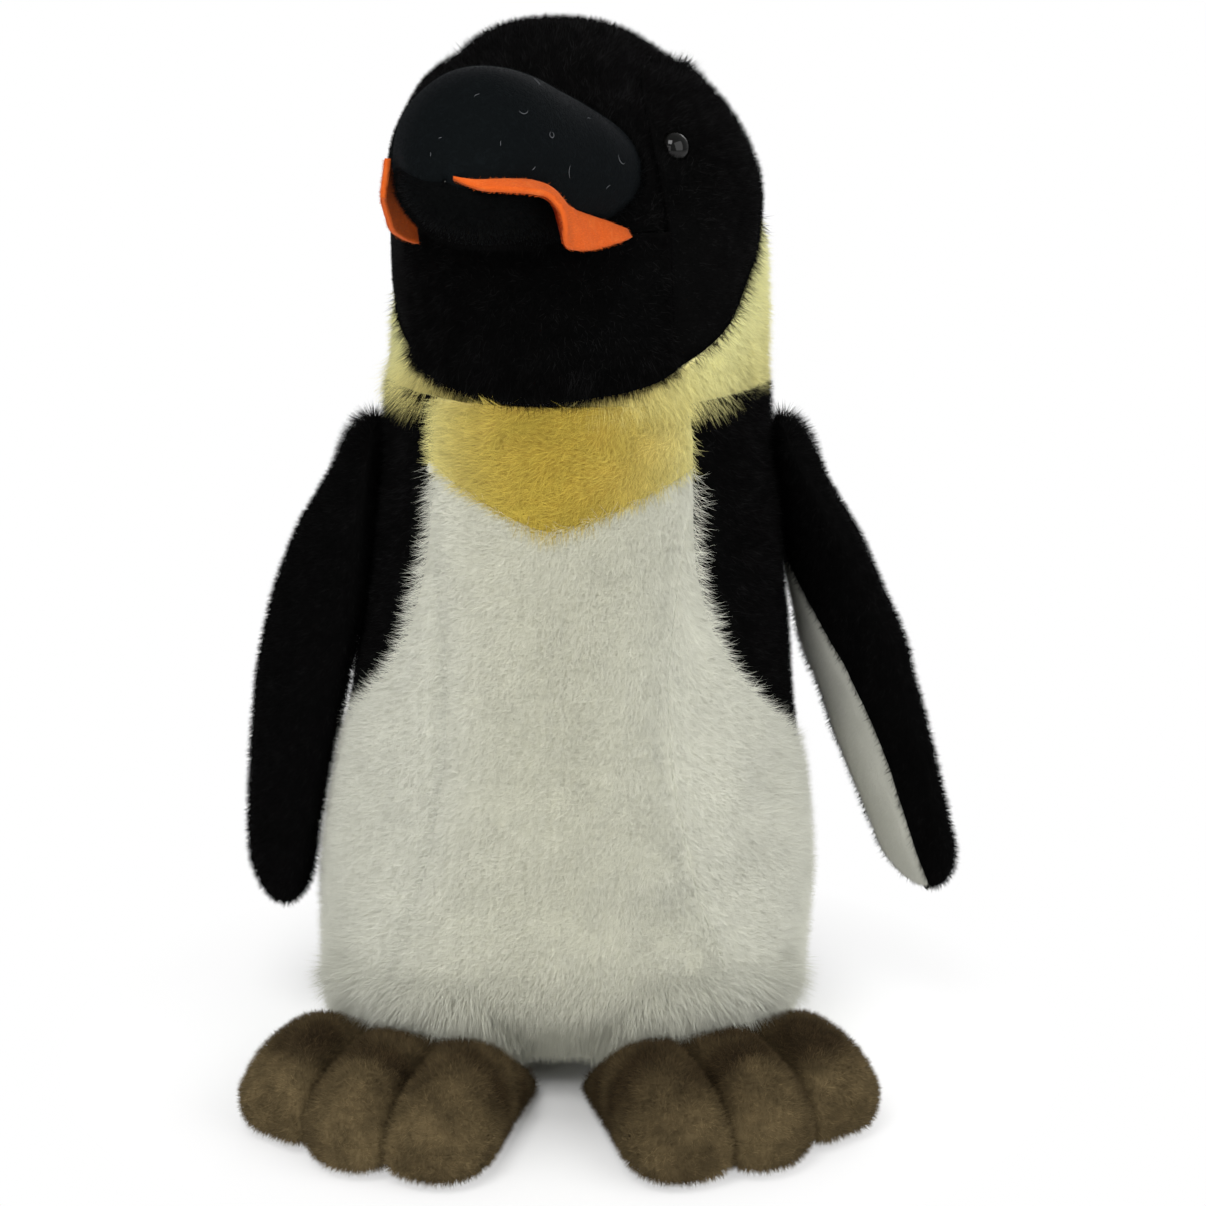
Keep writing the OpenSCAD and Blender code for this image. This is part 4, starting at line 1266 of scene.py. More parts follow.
@dataclass
class Beak:
    """The velour beak and its felt stripes, in the head's frame, in millimetres.

    Attributes:
        bury: how deep its root lies in the head.
        droop, hook: how far its line and its very tip bend down.
        blunt: how bluntly it ends.
        right_mouth_rise: how much higher the mouth is on the right, in degrees.
        mouths: angle of the mouth seam from the top, along the beak.
        widths, heights: share of the beak's width and height along it.
        left_stripe, right_stripe: where a stripe ends, its widths and droops, and how far its end trails.
        stripe_tuck: how far a stripe starts inside the mouth seam.
        lint: place along and round the beak, length and bend of each lint hair.
    """

    wide: float = 65
    high: float = 47
    length: float = 76
    bury: float = 20
    root_z: float = 58
    pitch: float = 17
    droop: float = 6
    hook: float = 8
    blunt: float = 6
    cloth: float = 2
    felt: float = 1.6
    left_felt: float = 10
    right_felt: float = 10
    right_mouth_rise: float = 14
    mouths: tuple = ((0.15, 142), (0.3, 137), (0.52, 129), (0.6, 124), (0.68, 118), (0.8, 115), (1, 114))
    head_d: float = 104
    widths: tuple = ((0, 1), (0.3, 0.96), (0.6, 0.76), (0.85, 0.62), (1, 0.56))
    heights: tuple = ((0, 0.82), (0.3, 0.9), (0.6, 1), (0.85, 0.98), (1, 0.9))
    stripe_from: float = 0.2
    left_stripe: tuple = (
        0.995,
        ((0, 0.1), (0.15, 0.55), (0.35, 0.9), (0.57, 1), (0.64, 0.7), (0.7, 0.5), (0.85, 0.42), (1, 0.3)),
        ((0, 62), (0.3, 72), (0.56, 76), (0.67, 42), (0.75, 26), (1, 20)),
        9,
    )
    right_stripe: tuple = (0.74, ((0, 0.9), (0.5, 1), (1, 0.85)), ((0, 94), (1, 82)), 0)
    stripe_tuck: float = 1.2
    root_x: float = 0.0
    lint: tuple = (
        (0.814, 51.9, 4.0, 120), (0.70, 73.8, 5.0, 330), (0.608, 92.9, 4.0, 60), (0.339, 79.4, 5.0, 150),
        (0.985, -45.0, 1.2, 40), (0.97, -20.0, 1.0, 20), (0.624, 38.4, 3.0, 30), (0.903, 66.5, 1.5, 50),
        (0.446, 59.8, 2.0, 90), (0.868, 19.4, 2.2, 40), (0.367, 102.4, 2.0, 80), (0.795, 98.5, 1.5, 50),
    )

    def mouth(self, s: float, along: Points) -> Points:
        """Angle of the mouth seam from the beak's top, higher on the right."""
        return curve(self.mouths, along) - (self.right_mouth_rise if s < 0 else 0)

    def line(self, along: Points) -> Points:
        """The beak's middle line, from 0 at its root to 1 at its tip."""
        t = along * self.length
        y = -(self.head_d / 2 - self.bury) - t * cosd(self.pitch)
        z = self.root_z + t * sind(self.pitch) - self.droop * along**2 - self.hook * along**8
        return stacked(np.full_like(t, self.root_x), y, z)

    def halves(self, along: Points) -> tuple[Points, Points]:
        """Half the beak's width and height along its line."""
        end = np.sqrt(np.maximum(0, 1 - along**self.blunt))
        wide, high = curve(self.widths, along) * end, curve(self.heights, along) * end
        return self.wide / 2 * wide, self.high / 2 * high

    def point(self, along: Points, turn: Points, inset: float = 0.0) -> Points:
        """Points round the beak.

        Args:
            along: share of the beak's length.
            turn: angle from its top, in degrees.
            inset: depth inside its surface.

        Returns:
            The points.
        """
        half_w, half_h = self.halves(along)
        out = np.maximum(half_w - inset, 0) * sind(turn)
        up = np.maximum(half_h - inset, 0) * cosd(turn)
        return self.line(along) + stacked(out, up * sind(self.pitch), up * cosd(self.pitch))

    def covers(self, points: Points, room: float) -> tuple[Points, Points]:
        """How far places lie from the beak, and the way to its middle.

        Args:
            points: places in the head's frame.
            room: how much fatter the beak is taken to be.

        Returns:
            A distance that is 1 on its surface, and directions.
        """
        t = (-(points[..., 1] + self.head_d / 2 - self.bury)) / (self.length * cosd(self.pitch))
        along = np.clip(t, 0, 0.98)
        half_w, half_h = self.halves(along)
        offset = points - self.line(along)
        out = offset[..., 0]
        up = offset[..., 2] * cosd(self.pitch) + offset[..., 1] * sind(self.pitch)
        away = np.sqrt((out / (half_w + room)) ** 2 + (up / (half_h + room)) ** 2)
        inward = -unit(stacked(out, up * sind(self.pitch), up * cosd(self.pitch)))
        return np.where((t > -0.3) & (t < 1), away, 9.0), inward

    def stripe_point(self, s: float, t: Points, across: Points, lift: float) -> Points:
        """Points on a felt stripe.

        Args:
            s: the side's sign.
            t: share of its length, from the head to the beak's tip.
            across: share of its width, from the mouth seam out.
            lift: 0 under it and 1 on top.

        Returns:
            The points.
        """
        last, widths, droops, trails = self.right_stripe if s < 0 else self.left_stripe
        along = mix(self.stripe_from, last, t)
        root = self.point(along, s * (self.mouth(s, along) - 4), -0.4)
        droop = curve(droops, t)
        wide = self.right_felt if s < 0 else self.left_felt
        reach = -self.stripe_tuck + (self.stripe_tuck + 0.4 + wide * curve(widths, t)) * across
        rise = (0.2 + lift * self.felt) * np.ones_like(reach)
        trail = trails * np.maximum(0, 1 - t / 0.35) ** 2
        x = s * (reach * cosd(droop) + rise * sind(droop) + 0.7 * trail)
        return root + stacked(x, 0.7 * trail, rise * cosd(droop) - reach * sind(droop) - 0.2 * trail)


@dataclass
class Head:
    """The head's covers, filling, eyes and beak, in millimetres.

    Attributes:
        drum, dome: heights of its lower part and of the dome above.
        lean: how far the crown leans, along x.
        turn: turn towards the toy's right, in degrees.
        cheek: angle of the side panels' edges from the beak, in degrees.
        eye_size: radius and height of an eye's dome.
        eye_profile: radius and height of an eye's rim and shank.
        eye_seat: how deep an eye sits in the cloth.
        tufts: place and added length of the crown's longer tufts.
        pressed: where the pile lies flat on the right.
        notch: the dent beside the crown seam.
        patch_edge: height of a cheek patch's upper edge, by the share round from the chin.
        seam_share: share round from the chin at which the side panels start.
        cols: columns of a panel's grid.
    """

    neck_w: float = 104
    neck_d: float = 100
    wide: float = 103
    deep: float = 104
    drum: float = 46
    dome: float = 52
    chin_out: float = 5
    lean: float = -7
    turn: float = 17
    gusset_half: float = 27
    cheek: float = 48
    core_inset: float = 6.0
    neck: Place = (6, 0, 200.4)
    eye_angle: float = 57
    eye_rise: float = 22
    eye_size: tuple[float, float] = (4.5, 4.0)
    eye_profile: tuple = ((4.5, -0.5), (4.2, -0.8), (1.5, -0.8), (1.5, -12.4), (1.35, -12.8))
    eye_seat: float = 2.5
    tufts: tuple = (((-33, -6, 90), 1.0), ((27, 6, 85), 1.1))
    tuft_reach: float = 5.0
    pressed: Place = (-49.7, -18.5, 51.7)
    press_share: float = 0.75
    press_reach: float = 36
    notch: Dent = Dent((21.5, 0, 89), 2.6, 7)
    patch_edge: tuple = (
        (0.08, 0.015), (0.17, 0.05), (0.25, 0.1), (0.33, 0.17), (0.43, 0.29), (0.57, 0.52),
        (0.72, 0.79), (0.84, 0.93), (0.92, 0.95), (1, 0.86),
    )
    seam_share: float = 1 / 3
    cols: int = 50
    beak: Beak = field(default_factory=Beak)

    def place(self) -> Matrix:
        """The head's place on the neck, in millimetres."""
        return Matrix.Translation(self.neck) @ Matrix.Rotation(math.radians(-self.turn), 4, "Z")

    def shift(self, z: Points | float) -> Points | float:
        """Sideways lean of the head at a height."""
        return self.lean * (z / (self.drum + self.dome)) ** 2

    def leaned(self, x: Points, y: Points, z: Points) -> Points:
        """Points with the head's lean."""
        return stacked(x + self.shift(z), y, z)

    def half(self, step: Points, neck: float, full: float) -> Points:
        """Half the head's width or depth at a height step."""
        return mix(neck, full, sind(90 * np.minimum(step + 1, 1))) / 2

    def point(self, angle: Points, step: Points, inset: float = 0.0) -> Points:
        """Points round the head.

        Args:
            angle: angle from the beak, towards the toy's left.
            step: -1 at the neck, 0 at the fullest part, 1 at the crown.
            inset: depth inside the outer surface.

        Returns:
            The points, in the head's frame.
        """
        angle, step = np.broadcast_arrays(np.asarray(angle, float), np.asarray(step, float))
        level = np.where(step > 0, cosd(90 * np.maximum(step, 0)), 1)
        z = np.where(step > 0, self.drum + (self.dome - inset) * sind(90 * step), self.drum * (1 + step))
        bulge = self.chin_out * np.maximum(cosd(angle), 0) ** 2 * sind(180 * (np.minimum(step, 0) + 1))
        x = level * (self.half(step, self.neck_w, self.wide) - inset) * sind(angle)
        y = -level * (self.half(step, self.neck_d, self.deep) + np.maximum(bulge, 0) - inset) * cosd(angle)
        return self.leaned(x, y, z)

    def crown(self, over: Points, sideways: Points) -> Points:
        """Points on the dome by the angle over its top and the angle sideways."""
        x = self.wide / 2 * sind(sideways)
        y = -self.deep / 2 * cosd(sideways) * cosd(over)
        return self.leaned(x, y, self.drum + self.dome * cosd(sideways) * sind(over))

    def gusset_seam(self, over: Points) -> Points:
        """Sideways angle of the crown gusset's edge."""
        top = math.degrees(math.asin(self.gusset_half / (self.wide / 2)))
        return mix(top, self.cheek, cosd(over) ** 2)

    def patch_step(self, share: Points) -> Points:
        """Height step of a cheek patch's upper edge, by the share round from the middle of the chin."""
        return curve(self.patch_edge, share) - 1

    def patch_angle(self, share: Points) -> Points:
        """Angle from the beak at a share round from the middle of the chin."""
        behind = (share - self.seam_share) / (1 - self.seam_share)
        side = mix(self.cheek, 180 - self.cheek, behind)
        return np.where(share < self.seam_share, self.cheek * share / self.seam_share, side)

    def chin_low(self, share: Points) -> Points:
        """Height step of the chin's lower edge, by the share from its middle to its sides."""
        first = 0.25
        middle = mix(-1, self.patch_step(first * self.seam_share), np.abs(share) / first)
        return np.where(np.abs(share) < first, middle, self.patch_step(np.abs(share) * self.seam_share))

    def surface(
        self, points: Points, seams: dict[str, float], tone: Points | None = None, wide: float = 5.0
    ) -> Surface:
        """A head panel's surface with its seams, lumps and notch, in the head's frame.

        Args:
            points: the panel's grid of points.
            seams: depth of the pull for each edge.
            tone: how far each point's colour goes to the paler one.
            wide: how far the pull reaches into the panel.

        Returns:
            The surface.
        """
        surface = Surface(points, np.array([0, 0, self.drum]), tone).pulled(seams, wide)
        return surface.lumpy(height=1.3, size=22, seed=17).dented(self.notch)

    def eye(self, side: Side) -> Points:
        """Where an eye sits on the head, in the head's frame."""
        step = math.degrees(math.asin(self.eye_rise / self.dome)) / 90
        return self.point(side.sign * self.eye_angle, step)

    @property
    def share(self) -> Points:
        """Shares across the columns of a panel."""
        return np.linspace(0, 1, self.cols)[None, :]

    def room(self, surface: Surface) -> Points:
        """Share of the pile's length that the beak and the eyes leave, with the longer tufts on the crown.

        Args:
            surface: a head panel, in the head's frame.

        Returns:
            The share at each point of the grid.
        """
        share = ramp(self.beak.covers(surface.points, 0.6)[0], 0.98, 1.05)
        for side in Side:
            away = surface.away(self.eye(side))
            share = share * (0.75 + 0.25 * ramp(away, 4.0, 7.0)) * ramp(away, 2.8, 4.0)
        for place, more in self.tufts:
            share = share * (1 + more * bell(surface.away(place), self.tuft_reach))
        return share

    def comb(self, surface: Surface) -> Points:
        """The way in which the pile lies over the edges of the beak and the eyes.

        Args:
            surface: a head panel, in the head's frame.

        Returns:
            A way to add to the nap at each point of the grid, in the toy's frame.
        """
        away, inward = self.beak.covers(surface.points, 0.6)
        way = inward * (2.2 * (1 - ramp(away, 1.1, 1.6)))[..., None]
        for side in Side:
            ahead = self.eye(side) - surface.points
            near = 1 - ramp(np.linalg.norm(ahead, axis=-1), 5.0, 9.0)
            way = way + 3.0 * unit(ahead) * near[..., None]
        return way @ np.array(self.place())[:3, :3].T

    def finish_panel(self, panel: Panel) -> None:
        """Makes a head panel in its place.

        Args:
            panel: the panel in the head's frame, with how much longer its pile is as its share.
        """
        panel.share = self.room(panel.surface) * (1 if panel.share is None else panel.share)
        panel.comb = self.comb(panel.surface)
        panel.surface = panel.surface.moved(self.place())
        panel.build()

    def seated(self, mesh: bpy.types.Mesh) -> bpy.types.Mesh:
        """Moves a mesh from the head's frame to its place.

        Args:
            mesh: the mesh.

        Returns:
            The same mesh.
        """
        place = self.place()
        place.translation *= MM
        mesh.transform(place)
        return mesh

    def build(self) -> None:
        """Makes the panels, the filling, the beak with its felt and lint, and the eyes."""
        self.beak.root_x = float(self.shift(self.beak.root_z))
        self.build_chin()
        self.build_crown()
        for side in Side:
            self.build_side(side)
            self.build_patch(side)
        self.build_filling()
        self.build_beak()
        self.build_stripes()
        self.build_lint()
        self.build_eyes()

    def build_chin(self) -> None:
        """Makes the black throat panel, with a fringe over the bib."""
        across = 2 * self.share - 1
        step = mix(self.chin_low(across), 0, np.linspace(0, 1, 40)[:, None])
        chin = self.surface(self.point(self.cheek * across, step), {"left": 1.2, "right": 1.2})
        low = chin.reach()["low"]
        fringe = (CHIN_FRINGE, TO_START, ramp(low, 1, 3) * (1 - ramp(low, 6, 12)))
        self.finish_panel(Panel("chin_panel", chin, BLACK, BLACK_PILE, TO_START, "head", fringe=fringe))

    def build_crown(self) -> None:
        """Makes the gusset over the crown, from the beak to the nape."""
        across = 2 * self.share - 1
        over = np.linspace(0, 180, 90)[:, None]
        dome = self.crown(over, self.gusset_seam(over) * across)
        nape = self.point(180 - self.cheek * across, -np.linspace(0, 1, 30)[1:, None])
        gusset = self.surface(np.concatenate([dome, nape]), {"left": 2.8, "right": 2.8}, wide=9.0)
        self.finish_panel(Panel("crown_gusset", gusset, BLACK, BLACK_PILE, TO_END, "head"))

    def build_side(self, side: Side) -> None:
        """Makes the black panel on one side of the head.

        Args:
            side: the toy's side.
        """
        s, share = side.sign, self.share
        top = self.patch_step(mix(self.seam_share, 1, share))
        angle = s * mix(self.cheek, 180 - self.cheek, share)
        drum = self.point(angle, mix(top, 0, np.linspace(0, 1, 30)[:, None]))
        rise = np.linspace(0, 89.5, 45)[1:, None]
        seam = self.gusset_seam(rise)
        front = np.degrees(np.arctan2(sind(seam), cosd(seam) * cosd(rise)))
        height = np.degrees(np.arcsin(cosd(seam) * sind(rise))) / 90
        cap = self.point(s * mix(front, 180 - front, share), height)
        seams = {"left": 1.2, "right": 1.2, "low": 0.9, "high": 2.8}
        face = self.surface(np.concatenate([drum, cap]), seams, wide=9.0)
        longer = 0.5 + 0.5 * ramp(face.points[..., 2], self.drum - 6, self.drum + 14)
        if side is Side.RIGHT:
            longer = longer * (1 - self.press_share * bell(face.away(self.pressed), self.press_reach))
        fringe = (SIDE_FRINGE, (0.25, -1.0), 1 - ramp(face.reach()["low"], 0.5, 5))
        node = f"head_side_{side.word}"
        panel = Panel(node, face, BLACK, BLACK_PILE, (0.7, -0.5), "head", share=longer, fringe=fringe)
        self.finish_panel(panel)

    def build_patch(self, side: Side) -> None:
        """Makes the yellow cheek patch on one side, with a fringe over the neck seam.

        Args:
            side: the toy's side.
        """
        ahead = np.linspace(0.25, 1, 16)[:-1] * self.seam_share
        around = np.concatenate([ahead, mix(self.seam_share, 1, self.share[0])])
        rise = np.linspace(0, 1, 36)[:, None]
        angle = side.sign * self.patch_angle(around)[None]
        points = self.point(angle, mix(-1, self.patch_step(around)[None], rise))
        tone = mix(0.4, 0.65 + 0.35 * rise, ramp(around, 0.2, 0.5)[None])
        lobe = self.surface(points, {"left": 0.8, "high": 0.9}, tone)
        front = 1 - ramp(around, 0.42, 0.62)[None]
        hang = (1 - ramp(lobe.reach()["low"], 4, 14)) * (0.55 + 0.45 * front)
        pile = CHEEK_FRINGE if side is Side.LEFT else replace(CHEEK_FRINGE, length=13.0)
        node, fringe = f"cheek_patch_{side.word}", (pile, (-0.15, -1.0), hang)
        self.finish_panel(Panel(node, lobe, YELLOW, CHEEK_PILE, (-0.2, -1.0), "head", fringe=fringe))

    def build_filling(self) -> None:
        """Makes the head's fibre filling."""
        step = np.concatenate([np.linspace(-1, 0, 14), np.linspace(0, 0.96, 18)[1:]])[:, None]
        rings = self.point(full_turn(72)[None, :], step, self.core_inset)
        high = np.array([self.lean, 0, self.drum + self.dome - self.core_inset])
        mesh = core_mesh("head_stuffing_fibre", rings, np.zeros(3), high, 1.2)
        show(self.seated(mesh), FIBRE, "head", ["head_stuffing"])

    def leaving(self, turn: Points) -> Points:
        """Where the beak leaves the head's cloth.

        Args:
            turn: angles round the beak.

        Returns:
            The share of the beak's length at each angle.
        """
        low, high = np.zeros_like(turn), np.full_like(turn, 0.8)
        for _ in range(16):
            middle = (low + high) / 2
            p = self.beak.point(middle, turn)
            above = p[..., 2] > self.drum
            step = (p[..., 2] - self.drum) / np.where(above, self.dome, self.drum)
            level = np.where(above, np.sqrt(np.maximum(1 - step**2, 1e-4)), 1)
            a = level * self.half(np.minimum(step, 0), self.neck_w, self.wide)
            b = level * self.half(np.minimum(step, 0), self.neck_d, self.deep)
            out = ((p[..., 0] - self.shift(p[..., 2])) / a) ** 2 + (p[..., 1] / b) ** 2 > 1
            low, high = np.where(out, low, middle), np.where(out, middle, high)
        return low

    def build_beak(self) -> None:
        """Makes the beak's two velour covers, the lower one painted darker as shade, their pile, the ruff at
        its root and the filling.
        """
        beak, place = self.beak, self.place()
        inside = beak.line(np.array(0.55))
        for node, cols in (("beak_upper", 90), ("beak_lower", 50)):
            upper, share = node == "beak_upper", np.linspace(0, 1, cols)[None, :]

            def turn_at(along: Points, upper: bool = upper, share: Points = share) -> Points:
                """Angles across a cover."""
                left, right = beak.mouth(1, along), beak.mouth(-1, along)
                return mix(-right, left, share) if upper else mix(left, 360 - right, share)

            root = np.maximum(self.leaving(turn_at(np.zeros_like(share))) - 0.07, 0)
            along = mix(root, 0.99999, sind(np.linspace(0, 90, 60)[:, None]))
            surface = Surface(beak.point(along, turn_at(along)), inside)
            surface = surface.pulled({"left": 0.9, "right": 0.9, "low": 2.0}, width=3.0)
            surface = surface.lumpy(height=0.5, size=18, seed=23).moved(place)
            mesh = surface.shell(f"{node}_velour", beak.cloth)
            # The lower cover and its pile take the darker copies, as painted shade under the beak.
            cloth, pile, fibre = (VELOUR, VELOUR_PILE, VELVET) if upper else (UNDER, UNDER_PILE, SHADED_BEAK_FUR)
            show(mesh, cloth, "head", [node])
            for fuzz in pile.grow(f"{node}_pile", surface, TO_END, 51):
                show(fuzz, fibre, "head")
            edge = mix(root + 0.05, root + 0.12, np.linspace(0, 1, 8)[:, None])
            ruff = Surface(beak.point(edge, turn_at(edge)), inside).moved(place)
            for fuzz in BLACK_FRINGE.grow(f"{node}_ruff", ruff, TO_END, 61):
                show(fuzz, BLACK, "head")
        turn = full_turn(48)[None, :]
        along = mix(self.leaving(turn), 0.97, sind(np.linspace(0, 90, 26)[:, None]))
        rings = beak.point(along, turn, beak.cloth + 1.0)
        low, high = rings[0].mean(axis=0), beak.line(np.array(0.96))
        mesh = core_mesh("beak_stuffing_fibre", rings, low, high, 0.6)
        show(self.seated(mesh), FIBRE, "head", ["beak_stuffing"])

    def build_eyes(self) -> None:
        """Makes the moulded eyes: a dome on a shank, seated in the cloth."""
        radius, high = self.eye_size
        bend = np.linspace(90, 0, 18)[1:]
        dome = np.stack([radius * cosd(bend), high * sind(bend)], axis=1)
        profile = np.concatenate([dome, self.eye_profile])[:, :, None, None]
        turn = full_turn(40)[:, None]
        for side in Side:
            x, y, z = spot = self.eye(side)
            slope = ((x - self.shift(z)) / (self.wide / 2) ** 2, y / (self.deep / 2) ** 2)
            way = unit(np.array([*slope, self.eye_rise / self.dome**2]))
            across = unit(np.cross(way, np.array([0.0, 0, 1])))
            ring = across * cosd(turn) + np.cross(way, across) * sind(turn)
            seat = spot - way * self.eye_seat
            rings = seat + way * profile[:, 1] + ring[None] * profile[:, 0]
            front, back = seat + way * high, seat + way * self.eye_profile[-1][1]
            mesh = core_mesh(f"eye_{side.word}_dome", rings, front, back, 0.0)
            show(self.seated(mesh), EYE, "head", [f"eye_{side.word}"])

    def build_lint(self) -> None:
        """Makes the few pale lint hairs that cling to the velour."""
        rng = np.random.default_rng(12)
        knots, thick, lift = 9, 0.07, -0.3
        lines = []
        for along, turn, long, bend in self.beak.lint:
            start = self.beak.point(np.array(along), np.array(turn), lift)
            ahead = unit(self.beak.point(np.array(along + 0.02), np.array(turn), lift) - start)
            aside = unit(self.beak.point(np.array(along), np.array(turn + 3.0), lift) - start)
            heading = rng.uniform(0, 360) + bend * np.linspace(0, 1, knots)
            steps = ahead * cosd(heading)[:, None] + aside * sind(heading)[:, None]
            lines.append(start + np.cumsum(steps, axis=0) * long / knots)
        path = np.stack(lines)
        way = unit(np.gradient(path, axis=1))
        side = unit(np.cross(way, np.array([0.3, -0.8, 0.5])))
        other = np.cross(way, side)
        taper = np.sqrt(np.maximum(1 - np.linspace(-0.97, 0.97, knots) ** 2, 0.05))
        thin = thick * taper[None, :, None]
        rings = np.stack([path + thin * (side * cosd(a) + other * sind(a)) for a in (0, 120, 240)], axis=2)
        per = 3 * knots
        first = (np.arange(len(lines)) * per)[:, None]
        base = first + (np.arange(knots - 1) * 3)[None]
        wall = np.array([[0, 1, 4, 3], [1, 2, 5, 4], [2, 0, 3, 5]])
        quads = (base[..., None, None] + wall).reshape(-1, 4)
        ends = np.concatenate([first + np.array([[2, 1, 0]]), first + per - np.array([[3, 2, 1]])])
        mesh = make_mesh("beak_lint", rings.reshape(-1, 3), [quads, ends])
        for name, value in (("rise", 0.8), ("shade", 0.5), ("tone", 0.0)):
            note(mesh, name, np.full(len(lines) * per, value))
        show(self.seated(mesh), LINT, "head")

    def build_stripes(self) -> None:
        """Makes the felt stripes along the mouth, with the fuzz of the felt."""
        felt = self.beak.felt
        for side in Side:
            node = f"beak_stripe_{side.word}"
            t = np.linspace(0, 1, 70)[:, None] * np.ones((1, 14))
            across = np.linspace(0, 1, 14)[None, :] * np.ones((70, 1))
            top, low = (self.beak.stripe_point(side.sign, t, across, lift) for lift in (1, 0))
            surface = Surface(top, low.mean(axis=(0, 1))).lumpy(height=0.35, size=7, seed=41)
            surface = surface.moved(self.place())
            show(surface.shell(f"{node}_felt", felt), FELT, "head", [node])
            under = Surface(surface.points - surface.normal * felt, surface.points.mean(axis=(0, 1)))
            for word, face in (("top", surface), ("under", under)):
                for fuzz in FELT_PILE.grow(f"{node}_fuzz_{word}", face, (1.0, 0.2), 77):
                    show(fuzz, FUZZ, "head")


@dataclass
class Paddle:
    """A flat stuffed limb that hangs from a rounded root, in millimetres.

    Attributes:
        length: from its root to its tip.
        chord: widest chord.
        thick: greatest thickness.
        chords: share of the chord along its length.
        thicks: share of the thickness along its length.
        sweep: how far its tip lies back.
        bow: how far it bows outward.
        twist: turn that grows from its root, in degrees.
    """

    length: float
    chord: float
    thick: float
    chords: tuple
    thicks: tuple
    sweep: float = 0.0
    bow: float = 0.0
    twist: float = 0.0

    def ends(self, t: Points) -> Points:
        """Share of the section that the rounded ends leave."""
        root_to, tip_from = 0.05, 0.9
        root = np.sqrt(np.maximum(0, 1 - (1 - t / root_to) ** 2))
        tip = np.sqrt(np.maximum(0, 1 - ((t - tip_from) / 0.1) ** 2))
        return np.where(t < root_to, root, np.where(t > tip_from, tip, 1))

    def point(self, t: Points, turn: Points, inset: float = 0.0) -> Points:
        """Points round the paddle.

        Args:
            t: share of its length.
            turn: angle from its outer face, in degrees.
            inset: depth inside its surface.

        Returns:
            The points, hanging along -Z with the outer face at +X.
        """
        half_c = self.chord / 2 * curve(self.chords, t)
        half_t = self.thick / 2 * curve(self.thicks, t)
        out = np.maximum(half_t - inset, 0.3 * half_t) * self.ends(t) * cosd(turn)
        back = self.sweep * t * t + (half_c - inset) * self.ends(t) * sind(turn)
        twist = self.twist * curve(((0, 0), (0.4, 1), (1, 1)), t)
        x = self.bow * sind(180 * t) + out * cosd(twist) - back * sind(twist)
        z = self.thick * self.thicks[0][1] / 2 - inset - t * (self.length - 2 * inset)
        return stacked(x, out * sind(twist) + back * cosd(twist), z)

    def face(
        self, start: Callable[[Points], Points], end: Callable[[Points], Points], cols: int, seam: float
    ) -> Surface:
        """One face of the paddle.

        Args:
            start: angle of its first edge along the length.
            end: angle of its last edge along the length.
            cols: number of columns.
            seam: depth of the pull at its edges.

        Returns:
            The face's surface, from root to tip.
        """
        t = (1 - cosd(np.linspace(0.2, 179.8, 90)[:, None])) / 2
        turn = mix(start(t), end(t), np.linspace(0, 1, cols)[None, :])
        points = self.point(np.broadcast_to(t, (90, cols)), turn)
        inside = self.point(np.array(0.45), np.array(0.0), self.thick)
        surface = Surface(points, inside).pulled({"left": seam, "right": seam}, width=2.5)
        return surface.lumpy(height=0.6, size=16, seed=29)

    def fill(self, node: str, body: str, place: Matrix, inset: float, lumps: float) -> None:
        """Makes the paddle's fibre filling.

        Args:
            node: the CAD node that it stands for.
            body: the body it moves with.
            place: the paddle's place, in millimetres.
            inset: depth inside the paddle's surface.
            lumps: height of its lumps.
        """
        t = (1 - cosd(np.linspace(10, 170, 26)[:, None])) / 2
        turn = full_turn(36)[None, :]
        rings = self.point(np.broadcast_to(t, (26, 36)), np.broadcast_to(turn, (26, 36)), inset)
        low, high = (self.point(np.array(k), np.array(0.0), inset) for k in (0.0, 1.0))
        parts = [placed(part, place) for part in (rings, low, high)]
        show(core_mesh(f"{node}_fibre", *parts, lumps), FIBRE, body, [node])


